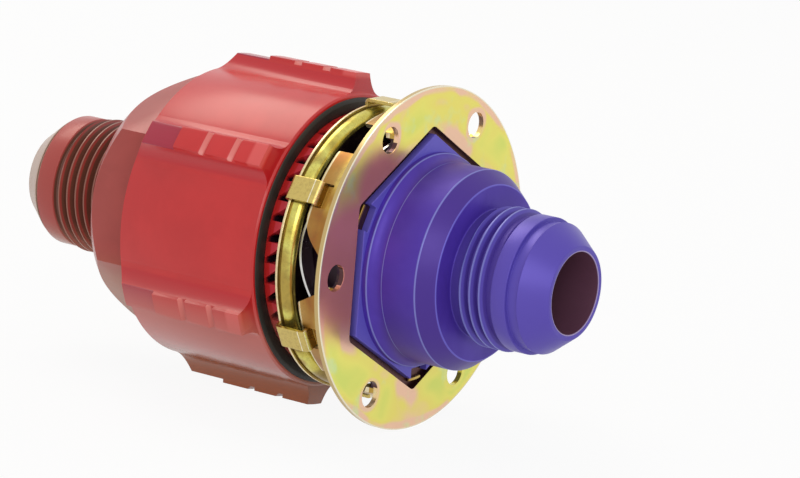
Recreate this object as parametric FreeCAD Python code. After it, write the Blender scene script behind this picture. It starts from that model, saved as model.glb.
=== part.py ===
import FreeCAD, Part
import math
import os

# Self-sealing screw coupling for coolant or fuel lines, drawn fully mated.
# X is the axis of the coupling. The bulkhead half points along +X, the hose half along -X.
# x = 0 is the front face of the mounting flange, and a hexagon corner points straight up.

V = FreeCAD.Vector
ORIGIN = V(0, 0, 0)
AXIS = V(1, 0, 0)
UP = 90.0

# Driving dimensions in millimetres and degrees

# Flow path and valve
BORE_R = 7.75
SEAT_STEP = 0.85
SEAT_LENGTH = 3.0
CHAMBER_STEP = 3.9
STROKE = 8.0
PASSAGE_STEP = 1.0
PASSAGE_LAND = 2.0
PASSAGE_ANGLE = 25.0

# Flare ends
FLARE_THREAD_R = 13.49
FLARE_ANGLE = 37.0
FLARE_LIP = 1.15
RELIEF_DEPTH = 1.09
LAND_DEPTH = 0.49
NECK_DEPTH = 1.29
FLARE_BASE_DEPTH = 0.94
BULKHEAD_RELIEF = 1.3
BULKHEAD_THREAD = 8.0
BULKHEAD_LAND = 3.3
BULKHEAD_NECK = 2.1
HOSE_RELIEF = 2.6
HOSE_THREAD = 14.5
HOSE_LAND = 4.3
HOSE_NECK = 0.7

# Bulkhead body
NOSE_WALL = 3.0
NOSE_LENGTH = 8.0
NOSE_SEAL_INSET = 3.4
COUPLING_THREAD_LENGTH = 12.0
COUPLING_THREAD_STEP = 1.0
JOURNAL_STEP = 0.1
JOURNAL_RUN_IN = 1.8
HEX_SHOULDER = 0.8
HEX_PROUD = 0.5
COLLAR_INSET = 0.3
COLLAR_LENGTH = 1.0
COLLAR_RUN = 2.55
COLLAR_DROP = 1.3
BOSS_LENGTH = 7.45
BOSS_CHAMFER = 2.4
BOSS_CHAMFER_RUN = 3.2
NOTCH_COUNT = 3
NOTCH_WIDTH = 4.9
NOTCH_DEPTH = 3.0
NOTCH_TURN = 2.3

# Mounting flange
FLANGE_R = 33.0
FLANGE_THICKNESS = 1.05
BOLT_OFFSET = 0.4
BOLT_HOLE_R = 2.55
SIDES = 6
WINDOW_GAP = 1.4
WINDOW_CORNER_R = 1.5

# Slotted cup behind the flange
CUP_SHEET = 1.0
CUP_DEPTH = 8.65
CUP_BEVEL = 0.9
CUP_INSET = 0.36
TAB_GAP_WIDTH = 8.8
TAB_GAP_FILLET = 3.2
TAB_GAP_INSET = 1.85
TAB_CORNER_R = 1.1
VEE_FLOOR = 2.2
VEE_ANGLE = 41.0
VEE_CORNER_R = 3.0
BOLT_RELIEF = 0.6
EAR_THICKNESS = 0.6
EAR_INSET = 0.1
EAR_HALF_ANGLE = 4.6
EAR_SET_BACK = 0.4
RETAINER_THICKNESS = 1.0
RETAINER_RISE = 1.2
RETAINER_GAP = 5.0

# Lock ring with hooked straps
RING_DEPTH = 3.1
RING_BORE_GAP = 1.4
RIM_THICKNESS = 0.5
RIM_OVERHANG = 2.66
BEAD_STEP = 0.5
BEAD_DROP = 2.3
BEAD_GROOVE = 0.25
BEAD_SWELL_RUN = 0.67
BEAD_SWELL_DROP = 0.3
STRAP_WIDTH = 4.7
STRAP_SHEET = 0.7
STRAP_RISE = 0.34
STRAP_LEAD = 0.45
STRAP_LENGTH = 6.95
STRAP_BEND_R = 0.2
HOOK_REACH = 2.6
LOCK_TRAVEL = 1.5
PAWL_COUNT = 3
PAWL_HEIGHT = 0.6
PAWL_MESH = 0.1
PAWL_MARGIN = 0.3
PAWL_INSET = 0.39
WAVE_HEIGHT = 9.05
WAVE_SHEET = 0.5
WAVE_GAP = 0.4
WAVE_COUNT = 3
WAVE_TURN = 19.5
WAVE_CHORDS = 16

# Union nut
NUT_LENGTH = 31.9
CROWN_TEETH = 39
CROWN_GAP = 1.8
CROWN_WIDTH = 3.1
CROWN_STEP = 0.8
TOOTH_HEIGHT = 3.3
TOOTH_ROOT_FLAT = 0.5
TOOTH_SINK = 0.2
DUST_RING_WIDTH = 2.8
DUST_RING_DEPTH = 1.7
DUST_RING_PROUD = 0.35
DUST_RING_EDGE = 0.12
NUT_LIP = 0.4
NUT_EDGE = 0.35
RIB_HEIGHT = 3.8
RIB_TOP_WIDTH = 4.4
RIB_BASE_WIDTH = 10.6
RIB_SAG_WIDTH = 0.22
RIB_SAG_HEIGHT = 0.36
RIB_TURN = -6.7
RIB_REAR_STEP = 0.7
RIB_REAR_LENGTH = 10.3
RIB_GROOVE_PITCH = 6.8
RIB_GROOVE_WIDTH = 1.2
RIB_GROOVE_DEPTH = 0.7
RIB_GROOVE_INSET = 7.7
RIB_NOSE = 1.1
RIB_TAIL = 2.5
REAR_WALL = 4.6

# Hose body
MOUTH_GAP = 1.0
NECK_WALL = 3.2
HOSE_HEX_SHOULDER = 3.35
HOSE_HEX_LENGTH = 12.3
HOSE_HEX_TURN = -11.0
HOSE_HEX_CHAMFER = 50.0
SPIDER_INSET = 2.0
HOSE_PASSAGE_LENGTH = 5.6
LOAD_RING_WIDTH = 2.0
LOAD_RING_SINK = 1.5
LOAD_RING_RISE = 3.1
LOAD_RING_GAP = 6.0
LOAD_RING_SPACE = 1.0

# Valve parts
SLEEVE_LENGTH = 11.2
SLEEVE_WALL = 1.9
STEM_R = 3.5
STEM_STUD_R = 2.5
TAIL_R = 3.0
POPPET_RIM_STEP = 1.8
POPPET_RIM_LENGTH = 1.2
GUIDE_LENGTH = 4.0
GUIDE_SEAT_INSET = 0.95
SPIDER_LENGTH = 3.0
SPOKE_COUNT = 3
SPOKE_WIDTH = 2.2
HUB_WALL = 2.2
SNAP_THICKNESS = 1.0
SNAP_SINK = 0.7
SNAP_RISE = 0.9
LOCK_NUT_FLATS = 8.0
LOCK_NUT_LENGTH = 3.0
STUD_END = 1.0
POPPET_SPRING_GAP = 0.6
POPPET_SPRING_WIRE = 1.5
POPPET_SPRING_COILS = 6
SLEEVE_SPRING_WIRE = 1.3
SLEEVE_SPRING_COILS = 4
COIL_CHORDS = 16

# Seals, drawn to their squeezed size
SEAL_GROOVE_PLAY = 0.4
NOSE_SEAL_SECTION = 1.75
SLEEVE_SEAL_SECTION = 1.25
HEAD_SEAL_SECTION = 1.15

# Clearances
VALVE_CLEARANCE = 0.1
SLIDE_CLEARANCE = 0.05
NOSE_CLEARANCE = 0.2
THREAD_CLEARANCE = 0.15
TURN_CLEARANCE = 0.1
FIT_CLEARANCE = 0.02
FACE_GAP = 0.1
SOCKET_GAP = 0.3
SLOT_PLAY = 0.25
EDGE_BREAK = 0.6

# How far a cutting form runs past the face it cuts
OVERCUT = 1.0

# Radii that follow from the driving dimensions

seat_r = BORE_R + SEAT_STEP
head_r = seat_r - VALVE_CLEARANCE
chamber_r = seat_r + CHAMBER_STEP
passage_r = chamber_r - PASSAGE_STEP
nose_r = chamber_r + NOSE_WALL
socket_r = nose_r + NOSE_CLEARANCE
neck_r = socket_r + NECK_WALL
coupling_thread_r = neck_r + COUPLING_THREAD_STEP
nut_thread_r = coupling_thread_r + THREAD_CLEARANCE
journal_r = coupling_thread_r + JOURNAL_STEP
hex_flat_r = journal_r + HEX_SHOULDER
hex_corner_r = hex_flat_r / math.cos(math.pi / SIDES)
window_flat_r = hex_flat_r + WINDOW_GAP
bolt_circle_r = (window_flat_r + FLANGE_R) / 2 + BOLT_OFFSET
collar_r = hex_flat_r - COLLAR_INSET
boss_r = collar_r - COLLAR_DROP
cup_bore_r = journal_r + TURN_CLEARANCE
crown_in_r = journal_r + CROWN_GAP
crown_out_r = crown_in_r + CROWN_WIDTH
dust_in_r = crown_out_r + FIT_CLEARANCE
dust_out_r = dust_in_r + DUST_RING_WIDTH
nut_front_r = dust_out_r + FIT_CLEARANCE + NUT_LIP
nut_r = nut_front_r + NUT_EDGE
rib_r = nut_r + RIB_HEIGHT
ring_bore_r = journal_r + RING_BORE_GAP
rim_r = crown_out_r + RIM_OVERHANG
bead_r = rim_r - BEAD_STEP
ring_back_r = rim_r - BEAD_DROP
cup_out_r = rim_r - CUP_INSET
cup_in_r = cup_out_r - CUP_SHEET
strap_in_r = rim_r + STRAP_RISE
strap_out_r = strap_in_r + STRAP_SHEET
hook_r = strap_in_r - HOOK_REACH
retainer_out_r = journal_r + RETAINER_RISE
sleeve_r = chamber_r
sleeve_bore_r = sleeve_r + SLIDE_CLEARANCE
sleeve_in_r = sleeve_r - SLEEVE_WALL
load_ring_out_r = neck_r + LOAD_RING_RISE
load_ring_in_r = neck_r - LOAD_RING_SINK
hose_hex_flat_r = neck_r + HOSE_HEX_SHOULDER
hose_hex_corner_r = hose_hex_flat_r / math.cos(math.pi / SIDES)

# Stations along the axis

x_back = -FLANGE_THICKNESS
x_cup_back = x_back - CUP_SHEET
x_cup_end = x_back - CUP_DEPTH
x_ring_back = x_cup_back - WAVE_HEIGHT
x_ring_front = x_ring_back - RING_DEPTH
x_tips = x_ring_front - PAWL_HEIGHT + PAWL_MESH
x_roots = x_tips - TOOTH_HEIGHT
x_nut_front = x_roots - CROWN_STEP
x_nut_rear = x_nut_front - NUT_LENGTH
x_rear_wall = x_nut_rear + REAR_WALL
x_journal_end = x_nut_front + JOURNAL_RUN_IN
x_shoulder = x_journal_end - COUPLING_THREAD_LENGTH
x_nose = x_shoulder - NOSE_LENGTH
x_seat_end = x_nose + SEAT_LENGTH
x_chamber = x_seat_end + CHAMBER_STEP
x_guide_seat = x_back - GUIDE_SEAT_INSET
x_guide_front = x_guide_seat - GUIDE_LENGTH
x_collar = HEX_PROUD + COLLAR_LENGTH
x_boss = x_collar + COLLAR_RUN
x_boss_end = x_boss + BOSS_LENGTH + BOSS_CHAMFER_RUN
x_mouth = x_shoulder - MOUTH_GAP
x_socket = x_nose - SOCKET_GAP
x_sleeve_front = x_nose - FACE_GAP
x_sleeve_back = x_sleeve_front - SLEEVE_LENGTH
x_hose_hex = x_nut_rear - FACE_GAP
x_hose_hex_back = x_hose_hex - HOSE_HEX_LENGTH
x_spider_seat = x_hose_hex_back + SPIDER_INSET
x_spider_front = x_spider_seat + SPIDER_LENGTH
x_load_ring = x_rear_wall + FACE_GAP
x_stem_front = x_nose + STROKE
x_poppet_front = x_stem_front + FACE_GAP
x_strap_start = x_ring_front - STRAP_LEAD
x_hook_end = x_strap_start + STRAP_LENGTH
x_hook_start = x_hook_end - STRAP_SHEET

corner_angles = [UP + 360.0 / SIDES * k for k in range(SIDES)]
hole_angles = [angle + 180.0 / SIDES for angle in corner_angles]
notch_angles = [corner_angles[1] + NOTCH_TURN + 360.0 / NOTCH_COUNT * k for k in range(NOTCH_COUNT)]


# Shared forms

def spot(x, r, angle=UP):
    """Point at station x, radius r and an angle about the axis."""
    a = math.radians(angle)
    return V(x, r * math.cos(a), r * math.sin(a))


def outline(points):
    """Closed wire in the upper half plane. Four numbers are an arc through a middle point."""
    edges = []
    start = V(points[0][0], 0, points[0][1])
    for p in list(points[1:]) + [points[0][:2]]:
        end = V(p[-2], 0, p[-1])
        if len(p) == 4:
            edges.append(Part.Arc(start, V(p[0], 0, p[1]), end).toShape())
        else:
            edges.append(Part.makeLine(start, end))
        start = end
    return Part.Wire(edges)


def turned(*points):
    """Solid of revolution about the axis, from an outline of stations and radii."""
    return Part.Face(outline(points)).revolve(ORIGIN, AXIS, 360)


def ring(x0, x1, r_in, r_out):
    return turned((x0, r_in), (x1, r_in), (x1, r_out), (x0, r_out))


def disc(x0, x1, r, y=0.0, z=0.0):
    return Part.makeCylinder(r, x1 - x0, V(x0, y, z), AXIS)


def placed(shape, angle):
    """Copy of a form drawn at the top, turned about the axis to its angle."""
    copy = shape.copy()
    copy.rotate(ORIGIN, AXIS, angle - UP)
    return copy


def block(x0, x1, r0, r1, width):
    """Flat-sided bar at the top, from radius r0 to r1."""
    return Part.makeBox(x1 - x0, width, r1 - r0, V(x0, -width / 2, r0))


def hexagon(x0, x1, flat_r, bore_r=0.0):
    """Hexagonal bar, hollow where a bore is given."""
    corner_r = flat_r / math.cos(math.pi / SIDES)
    corners = [spot(x0, corner_r, angle) for angle in corner_angles]
    bar = Part.Face(Part.makePolygon(corners + corners[:1])).extrude(V(x1 - x0, 0, 0))
    return bar.cut(disc(x0, x1, bore_r)) if bore_r else bar


def fused(first, others):
    return first.fuse(others).removeSplitter()


def elbow(cx, cr, radius, angle):
    """Point of a round about a centre, in the upper half plane."""
    a = math.radians(angle)
    return (cx + radius * math.cos(a), cr + radius * math.sin(a))


def seal(x, groove_r, section):
    """Square-cut ring seal on the floor of its groove."""
    return ring(x - section / 2, x + section / 2, groove_r, groove_r + section)


def split_ring(x0, x1, r_in, r_out, gap):
    """Spring ring with one gap, at the top."""
    opening = block(x0 - OVERCUT, x1 + OVERCUT, r_in / 2, r_out + OVERCUT, gap)
    return ring(x0, x1, r_in, r_out).cut(opening)


def spoked_disc(x0, x1, hub_bore, hub_r, rim_in, rim_out):
    """Hub and rim joined by spokes, open to the flow between them."""
    spoke = block(x0, x1, (hub_bore + hub_r) / 2, (rim_in + rim_out) / 2, SPOKE_WIDTH)
    spokes = [placed(spoke, UP + 360.0 / SPOKE_COUNT * k) for k in range(SPOKE_COUNT)]
    return fused(ring(x0, x1, hub_bore, hub_r), [ring(x0, x1, rim_in, rim_out)] + spokes)


def strip(path, width, height, closed):
    """Wire of rectangular section through stations, mean radii and angles, in straight chords."""
    sections = []
    for x, r, angle in path:
        sides = [(-1, -1), (1, -1), (1, 1), (-1, 1)]
        corners = [spot(x + dx * height / 2, r + dr * width / 2, angle) for dx, dr in sides]
        sections.append(Part.makePolygon(corners + corners[:1]))
    return Part.makeLoft(sections, True, True, closed)


def coil_spring(x0, x1, mean_r, wire, coils):
    """Square-wire spring between two seats."""
    chords = coils * COIL_CHORDS
    rise = (x1 - x0 - wire) / chords
    path = [(x0 + wire / 2 + rise * k, mean_r, UP + 360.0 / COIL_CHORDS * k) for k in range(chords + 1)]
    return strip(path, wire, wire, False)


def flare_outline(x, way, relief, thread, land, neck):
    """Outside of a flare end, from the shoulder at x outwards to the tip."""
    relief_r = FLARE_THREAD_R - RELIEF_DEPTH
    land_r = FLARE_THREAD_R - LAND_DEPTH
    base_r = FLARE_THREAD_R - FLARE_BASE_DEPTH
    tip_r = BORE_R + FLARE_LIP
    steps = [
        (0.0, relief_r),
        (relief, relief_r),
        (RELIEF_DEPTH, FLARE_THREAD_R),
        (thread - RELIEF_DEPTH - LAND_DEPTH, FLARE_THREAD_R),
        (LAND_DEPTH, land_r),
        (land, land_r),
        (0.0, FLARE_THREAD_R - NECK_DEPTH),
        (neck, FLARE_THREAD_R - NECK_DEPTH),
        (0.0, base_r),
        ((base_r - tip_r) / math.tan(math.radians(FLARE_ANGLE)), tip_r),
    ]
    points = []
    for length, r in steps:
        x += way * length
        points.append((x, r))
    return points


def groove(x_from, x_to, r, bottom_r):
    """Square groove in an outline, in the order the outline runs."""
    return [(x_from, r), (x_from, bottom_r), (x_to, bottom_r), (x_to, r)]


nose_groove_r = socket_r - SLIDE_CLEARANCE - NOSE_SEAL_SECTION
sleeve_groove_r = sleeve_bore_r - SLIDE_CLEARANCE / 2 - SLEEVE_SEAL_SECTION
head_groove_r = seat_r - SLIDE_CLEARANCE - HEAD_SEAL_SECTION
nose_seal_half = (NOSE_SEAL_SECTION + SEAL_GROOVE_PLAY) / 2
sleeve_seal_half = (SLEEVE_SEAL_SECTION + SEAL_GROOVE_PLAY) / 2
head_seal_half = (HEAD_SEAL_SECTION + SEAL_GROOVE_PLAY) / 2
x_nose_seal = x_nose + NOSE_SEAL_INSET
x_sleeve_seal = x_sleeve_back + EDGE_BREAK + sleeve_seal_half
x_stem_seal = x_stem_front - SEAT_LENGTH / 2
x_poppet_seal = x_poppet_front + SEAT_LENGTH / 2
passage_run = (passage_r - BORE_R) / math.tan(math.radians(PASSAGE_ANGLE))
x_bulkhead_bore = x_guide_seat + PASSAGE_LAND + passage_run
x_hose_bore = x_spider_seat - HOSE_PASSAGE_LENGTH

# Bulkhead half


def make_male_body():
    flare = flare_outline(x_boss_end, 1, BULKHEAD_RELIEF, BULKHEAD_THREAD, BULKHEAD_LAND, BULKHEAD_NECK)
    sweep_r = (COLLAR_RUN ** 2 + COLLAR_DROP ** 2) / (2 * COLLAR_DROP)
    sweep = math.degrees(math.atan2(COLLAR_RUN, sweep_r - COLLAR_DROP))
    collar_mid = elbow(x_boss, boss_r + sweep_r, sweep_r, 270 - sweep / 2)
    snap_groove_r = chamber_r + SNAP_SINK + FIT_CLEARANCE
    body = turned(
        (x_nose, seat_r),
        (x_nose, nose_r - EDGE_BREAK),
        (x_nose + EDGE_BREAK, nose_r),
        *groove(x_nose_seal - nose_seal_half, x_nose_seal + nose_seal_half, nose_r, nose_groove_r),
        (x_shoulder, nose_r),
        (x_shoulder, coupling_thread_r - EDGE_BREAK),
        (x_shoulder + EDGE_BREAK, coupling_thread_r),
        (x_journal_end, coupling_thread_r),
        (x_journal_end, journal_r),
        *groove(x_cup_back - RETAINER_THICKNESS, x_cup_back, journal_r, journal_r - RETAINER_RISE),
        (x_back, journal_r),
        (x_back, collar_r),
        (x_collar, collar_r),
        (*collar_mid, x_boss, boss_r),
        (x_boss_end - BOSS_CHAMFER_RUN, boss_r),
        (x_boss_end, boss_r - BOSS_CHAMFER),
        *flare,
        (flare[-1][0], BORE_R),
        (x_bulkhead_bore, BORE_R),
        (x_guide_seat + PASSAGE_LAND, passage_r),
        (x_guide_seat, passage_r),
        (x_guide_seat, chamber_r),
        *groove(x_guide_front, x_guide_front - SNAP_THICKNESS, chamber_r, snap_groove_r),
        (x_chamber, chamber_r),
        (x_seat_end, seat_r),
    )
    body = fused(body, [hexagon(x_back, HEX_PROUD, hex_flat_r, (chamber_r + collar_r) / 2)])
    notch_r = hex_corner_r - NOTCH_DEPTH
    notch_end_r = hex_corner_r + OVERCUT
    notch = block(x_back, HEX_PROUD, 0, notch_end_r, NOTCH_WIDTH)
    notch = notch.common(ring(x_back, HEX_PROUD, notch_r, notch_end_r))
    return body.cut([placed(notch, angle) for angle in notch_angles])


def make_flange_plate():
    plate = disc(x_back, 0, FLANGE_R)
    window = hexagon(x_back, 0, window_flat_r)
    corner_edges = [edge for edge in window.Edges if edge.BoundBox.XLength > FLANGE_THICKNESS / 2]
    window = window.makeFillet(WINDOW_CORNER_R, corner_edges)
    holes = [disc(x_back, 0, BOLT_HOLE_R, *bolt_centre(angle)) for angle in hole_angles]
    return plate.cut([window] + holes)


def bolt_centre(angle):
    point = spot(0, bolt_circle_r, angle)
    return (point.y, point.z)


def make_lock_ring_cup():
    inner_bevel = CUP_BEVEL - CUP_SHEET * (2 - math.sqrt(2))
    cup = turned(
        (x_back, cup_bore_r),
        (x_back, cup_out_r - CUP_BEVEL),
        (x_back - CUP_BEVEL, cup_out_r),
        (x_cup_end, cup_out_r),
        (x_cup_end, cup_in_r),
        (x_cup_back - inner_bevel, cup_in_r),
        (x_cup_back, cup_in_r - inner_bevel),
        (x_cup_back, cup_bore_r),
    )
    ear_out_r = hex_corner_r - EAR_INSET
    ear = ring(x_cup_back + CUP_SHEET / 2, -EAR_SET_BACK, ear_out_r - EAR_THICKNESS, ear_out_r)
    ear = ear.common(wedge(2 * EAR_HALF_ANGLE))
    cup = fused(cup, [placed(ear, angle) for angle in notch_angles])
    slot_front = x_hook_end + LOCK_TRAVEL + SLOT_PLAY
    slot_width = STRAP_WIDTH + SLOT_PLAY
    slot = block(x_hook_start - FACE_GAP, slot_front, cup_in_r - OVERCUT, cup_out_r + OVERCUT, slot_width)
    cuts = [placed(slot, angle) for angle in corner_angles]
    cuts += [placed(tab_gap(), angle) for angle in hole_angles[0::2]]
    cuts += [placed(vee_gap(), angle) for angle in hole_angles[1::2]]
    relief_r = BOLT_HOLE_R + BOLT_RELIEF
    cuts += [disc(x_cup_end, x_back, relief_r, *bolt_centre(angle)) for angle in hole_angles]
    return cup.cut(cuts)


def wedge(angle):
    """Sector at the top, reaching past the flange, to trim a ring to an arc."""
    reach = 2 * FLANGE_R
    side = reach * math.tan(math.radians(angle / 2))
    points = [V(-reach, 0, 0), V(-reach, side, reach), V(-reach, -side, reach), V(-reach, 0, 0)]
    return Part.Face(Part.makePolygon(points)).extrude(V(2 * reach, 0, 0))


def tab_gap():
    """Round-cornered gap between two tabs, flaring at the free end of the cup."""
    half = TAB_GAP_WIDTH / 2
    lip = half + TAB_CORNER_R
    x_lip = x_cup_end + TAB_CORNER_R
    x_bottom = x_back - TAB_GAP_INSET
    x_turn = x_bottom - TAB_GAP_FILLET
    lip_mid = elbow(x_cup_end, half, TAB_CORNER_R, 45)
    fillet_mid = elbow(x_turn, half - TAB_GAP_FILLET, TAB_GAP_FILLET, 45)
    upper = [
        (x_cup_end - OVERCUT, lip),
        (x_cup_end, lip),
        (*lip_mid, x_lip, half),
        (x_turn, half),
        (*fillet_mid, x_bottom, half - TAB_GAP_FILLET),
    ]
    return gap_form(upper)


def vee_gap():
    """Gap that widens from its floor to large round corners at the free end of the cup."""
    slope = math.radians(VEE_ANGLE)
    x_bottom = x_back - TAB_GAP_INSET
    half = VEE_FLOOR / 2 + (x_bottom - x_cup_end) * math.tan(slope)
    run = VEE_CORNER_R / math.tan((math.pi / 2 + slope) / 2)
    corner_mid = elbow(x_cup_end + VEE_CORNER_R, half + run, VEE_CORNER_R, 180 + (90 - VEE_ANGLE) / 2)
    return gap_form([
        (x_cup_end - OVERCUT, half + run),
        (x_cup_end, half + run),
        (*corner_mid, x_cup_end + run * math.cos(slope), half - run * math.sin(slope)),
        (x_bottom, VEE_FLOOR / 2),
    ])


def gap_form(upper):
    """Cutting form for a gap at the top of the cup, from one side of its outline."""
    gap = Part.Face(mirrored_outline(upper)).extrude(V(0, 0, cup_out_r))
    gap.translate(V(0, 0, cup_out_r / 2))
    return gap


def mirrored_outline(upper):
    """Closed wire in the X-Y plane from one side's points and their mirror image."""
    edges = []
    for sign in (1, -1):
        start = V(upper[0][0], sign * upper[0][1], 0)
        for p in upper[1:]:
            end = V(p[-2], sign * p[-1], 0)
            if len(p) == 4:
                edges.append(Part.Arc(start, V(p[0], sign * p[1], 0), end).toShape())
            else:
                edges.append(Part.makeLine(start, end))
            start = end
    for p in (upper[0], upper[-1]):
        edges.append(Part.makeLine(V(p[-2], p[-1], 0), V(p[-2], -p[-1], 0)))
    return Part.Wire(Part.__sortEdges__(edges))


def make_cup_retaining_ring():
    r_in = journal_r - RETAINER_RISE + FIT_CLEARANCE
    return split_ring(x_cup_back - RETAINER_THICKNESS, x_cup_back, r_in, retainer_out_r, RETAINER_GAP)


def make_poppet_guide():
    hub_bore = TAIL_R + SLIDE_CLEARANCE
    rim_r = chamber_r - FIT_CLEARANCE
    return spoked_disc(x_guide_front, x_guide_seat, hub_bore, hub_bore + HUB_WALL, passage_r, rim_r)


def make_guide_snap_ring():
    r_in = chamber_r - SNAP_RISE
    r_out = chamber_r + SNAP_SINK
    return split_ring(x_guide_front - SNAP_THICKNESS, x_guide_front, r_in, r_out, RETAINER_GAP)


def make_interface_seal():
    return seal(x_nose_seal, nose_groove_r, NOSE_SEAL_SECTION)


# Lock ring, the spring-loaded half of the ratchet

def make_lock_ring():
    x_rim = x_ring_front + RIM_THICKNESS
    x_bead = x_rim + BEAD_GROOVE
    swell_x = x_bead + (x_ring_back - x_bead) * BEAD_SWELL_RUN
    swell_r = bead_r + (ring_back_r - bead_r) * BEAD_SWELL_DROP
    shell = turned(
        (x_ring_front, ring_bore_r),
        (x_ring_front, rim_r),
        (x_rim, rim_r),
        (x_rim, bead_r - BEAD_STEP),
        (x_bead, bead_r - BEAD_STEP),
        (x_bead, bead_r),
        (swell_x, swell_r, x_ring_back, ring_back_r),
        (x_ring_back, ring_bore_r),
    )
    straps = [placed(make_strap(), angle) for angle in corner_angles]
    pawls = [make_pawl(UP + 360.0 / PAWL_COUNT * k) for k in range(PAWL_COUNT)]
    return fused(shell, straps + pawls)


def make_strap():
    """Flat strap from the rim, over the cup's tab and bent in through its slot."""
    half = STRAP_WIDTH / 2
    bend = STRAP_BEND_R + STRAP_SHEET
    x_in = x_strap_start + STRAP_SHEET
    root_r = rim_r - STRAP_SHEET
    left = (x_strap_start + bend, strap_out_r - bend)
    right = (x_hook_end - bend, strap_out_r - bend)
    wire = outline([
        (x_strap_start, root_r),
        (x_strap_start, left[1]),
        (*elbow(*left, bend, 135), left[0], strap_out_r),
        (right[0], strap_out_r),
        (*elbow(*right, bend, 45), x_hook_end, right[1]),
        (x_hook_end, hook_r),
        (x_hook_start, hook_r),
        (x_hook_start, right[1]),
        (*elbow(*right, STRAP_BEND_R, 45), right[0], strap_in_r),
        (left[0], strap_in_r),
        (*elbow(*left, STRAP_BEND_R, 135), x_in, left[1]),
        (x_in, root_r),
    ])
    strap = Part.Face(wire).extrude(V(0, STRAP_WIDTH, 0))
    strap.translate(V(0, -half, 0))
    return strap


def saw_tooth(x_root, x_tip, r_in, r_out, steep_angle, foot_angle):
    """Radial tooth with one steep flank, and a ramp down to the foot angle."""
    wires = []
    for r in (r_in, r_out):
        points = [spot(x_root, r, steep_angle), spot(x_tip, r, steep_angle), spot(x_root, r, foot_angle)]
        wires.append(Part.makePolygon(points + points[:1]))
    return Part.makeLoft(wires, True, True)


tooth_pitch = 360.0 / CROWN_TEETH
pawl_free_angle = PAWL_MESH / STROKE * 360.0 + PAWL_MARGIN


def make_pawl(angle):
    """Short tooth that faces the crown, with its steep side against loosening."""
    x_base = x_ring_front + RIM_THICKNESS / 2
    steep = angle + tooth_pitch - pawl_free_angle
    foot = angle + PAWL_MARGIN
    r_in = crown_in_r + PAWL_INSET
    r_out = crown_out_r - PAWL_INSET
    return saw_tooth(x_base, x_ring_front - PAWL_HEIGHT, r_in, r_out, steep, foot)


def make_wave_spring():
    """Closed ring of waved spring strip, inside the hooks."""
    r_in = retainer_out_r + WAVE_GAP
    r_out = hook_r - SLOT_PLAY
    middle = (x_cup_back + x_ring_back) / 2
    swing = (x_cup_back - x_ring_back - WAVE_SHEET - FACE_GAP) / 2
    path = []
    for k in range(WAVE_COUNT * WAVE_CHORDS):
        phase = 2 * math.pi * k / WAVE_CHORDS
        angle = UP + WAVE_TURN + 360.0 / (WAVE_COUNT * WAVE_CHORDS) * k
        path.append((middle + swing * math.cos(phase), (r_in + r_out) / 2, angle))
    return strip(path, r_out - r_in, WAVE_SHEET, True)


# Poppet, pushed open by the hose half's stem

def make_poppet():
    x_head = x_poppet_front + SEAT_LENGTH
    rim_r = head_r + POPPET_RIM_STEP
    x_rim = x_head + POPPET_RIM_STEP
    x_spring = x_rim + POPPET_RIM_LENGTH
    x_tail = x_guide_seat + STROKE
    return turned(
        (x_poppet_front, 0),
        (x_poppet_front, head_r),
        *groove(x_poppet_seal - head_seal_half, x_poppet_seal + head_seal_half, head_r, head_groove_r),
        (x_head, head_r),
        (x_rim, rim_r),
        (x_spring, rim_r),
        (x_spring, TAIL_R),
        (x_tail - EDGE_BREAK, TAIL_R),
        (x_tail, TAIL_R - EDGE_BREAK),
        (x_tail, 0),
    )


def make_poppet_seal():
    return seal(x_poppet_seal, head_groove_r, HEAD_SEAL_SECTION)


def make_poppet_spring():
    x_from = x_poppet_front + SEAT_LENGTH + POPPET_RIM_STEP + POPPET_RIM_LENGTH
    mean_r = TAIL_R + POPPET_SPRING_GAP + POPPET_SPRING_WIRE / 2
    x_to = x_guide_front - FACE_GAP
    return coil_spring(x_from + FACE_GAP, x_to, mean_r, POPPET_SPRING_WIRE, POPPET_SPRING_COILS)


# Hose half


def make_female_body():
    flare = flare_outline(x_hose_hex_back, -1, HOSE_RELIEF, HOSE_THREAD, HOSE_LAND, HOSE_NECK)
    load_groove_r = load_ring_in_r - FIT_CLEARANCE
    x_groove = x_load_ring + LOAD_RING_WIDTH + FACE_GAP
    body = turned(
        (x_mouth, socket_r + EDGE_BREAK),
        (x_mouth, neck_r - EDGE_BREAK),
        (x_mouth - EDGE_BREAK, neck_r),
        *groove(x_groove, x_load_ring, neck_r, load_groove_r),
        (x_hose_hex_back, neck_r),
        *flare,
        (flare[-1][0], BORE_R),
        (x_hose_bore, BORE_R),
        (x_spider_seat, passage_r),
        (x_spider_seat, sleeve_bore_r),
        (x_socket, sleeve_bore_r),
        (x_socket, socket_r),
        (x_mouth - EDGE_BREAK, socket_r),
    )
    drop = hose_hex_corner_r - hose_hex_flat_r
    run = drop * math.tan(math.radians(HOSE_HEX_CHAMFER))
    envelope = turned(
        (x_hose_hex_back, 0),
        (x_hose_hex_back, hose_hex_flat_r),
        (x_hose_hex_back + run, hose_hex_corner_r),
        (x_hose_hex, hose_hex_corner_r),
        (x_hose_hex, 0),
    )
    core_r = (sleeve_bore_r + neck_r) / 2
    hexagonal = hexagon(x_hose_hex_back, x_hose_hex, hose_hex_flat_r, core_r).common(envelope)
    return fused(body, [placed(hexagonal, UP + HOSE_HEX_TURN)])


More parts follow.
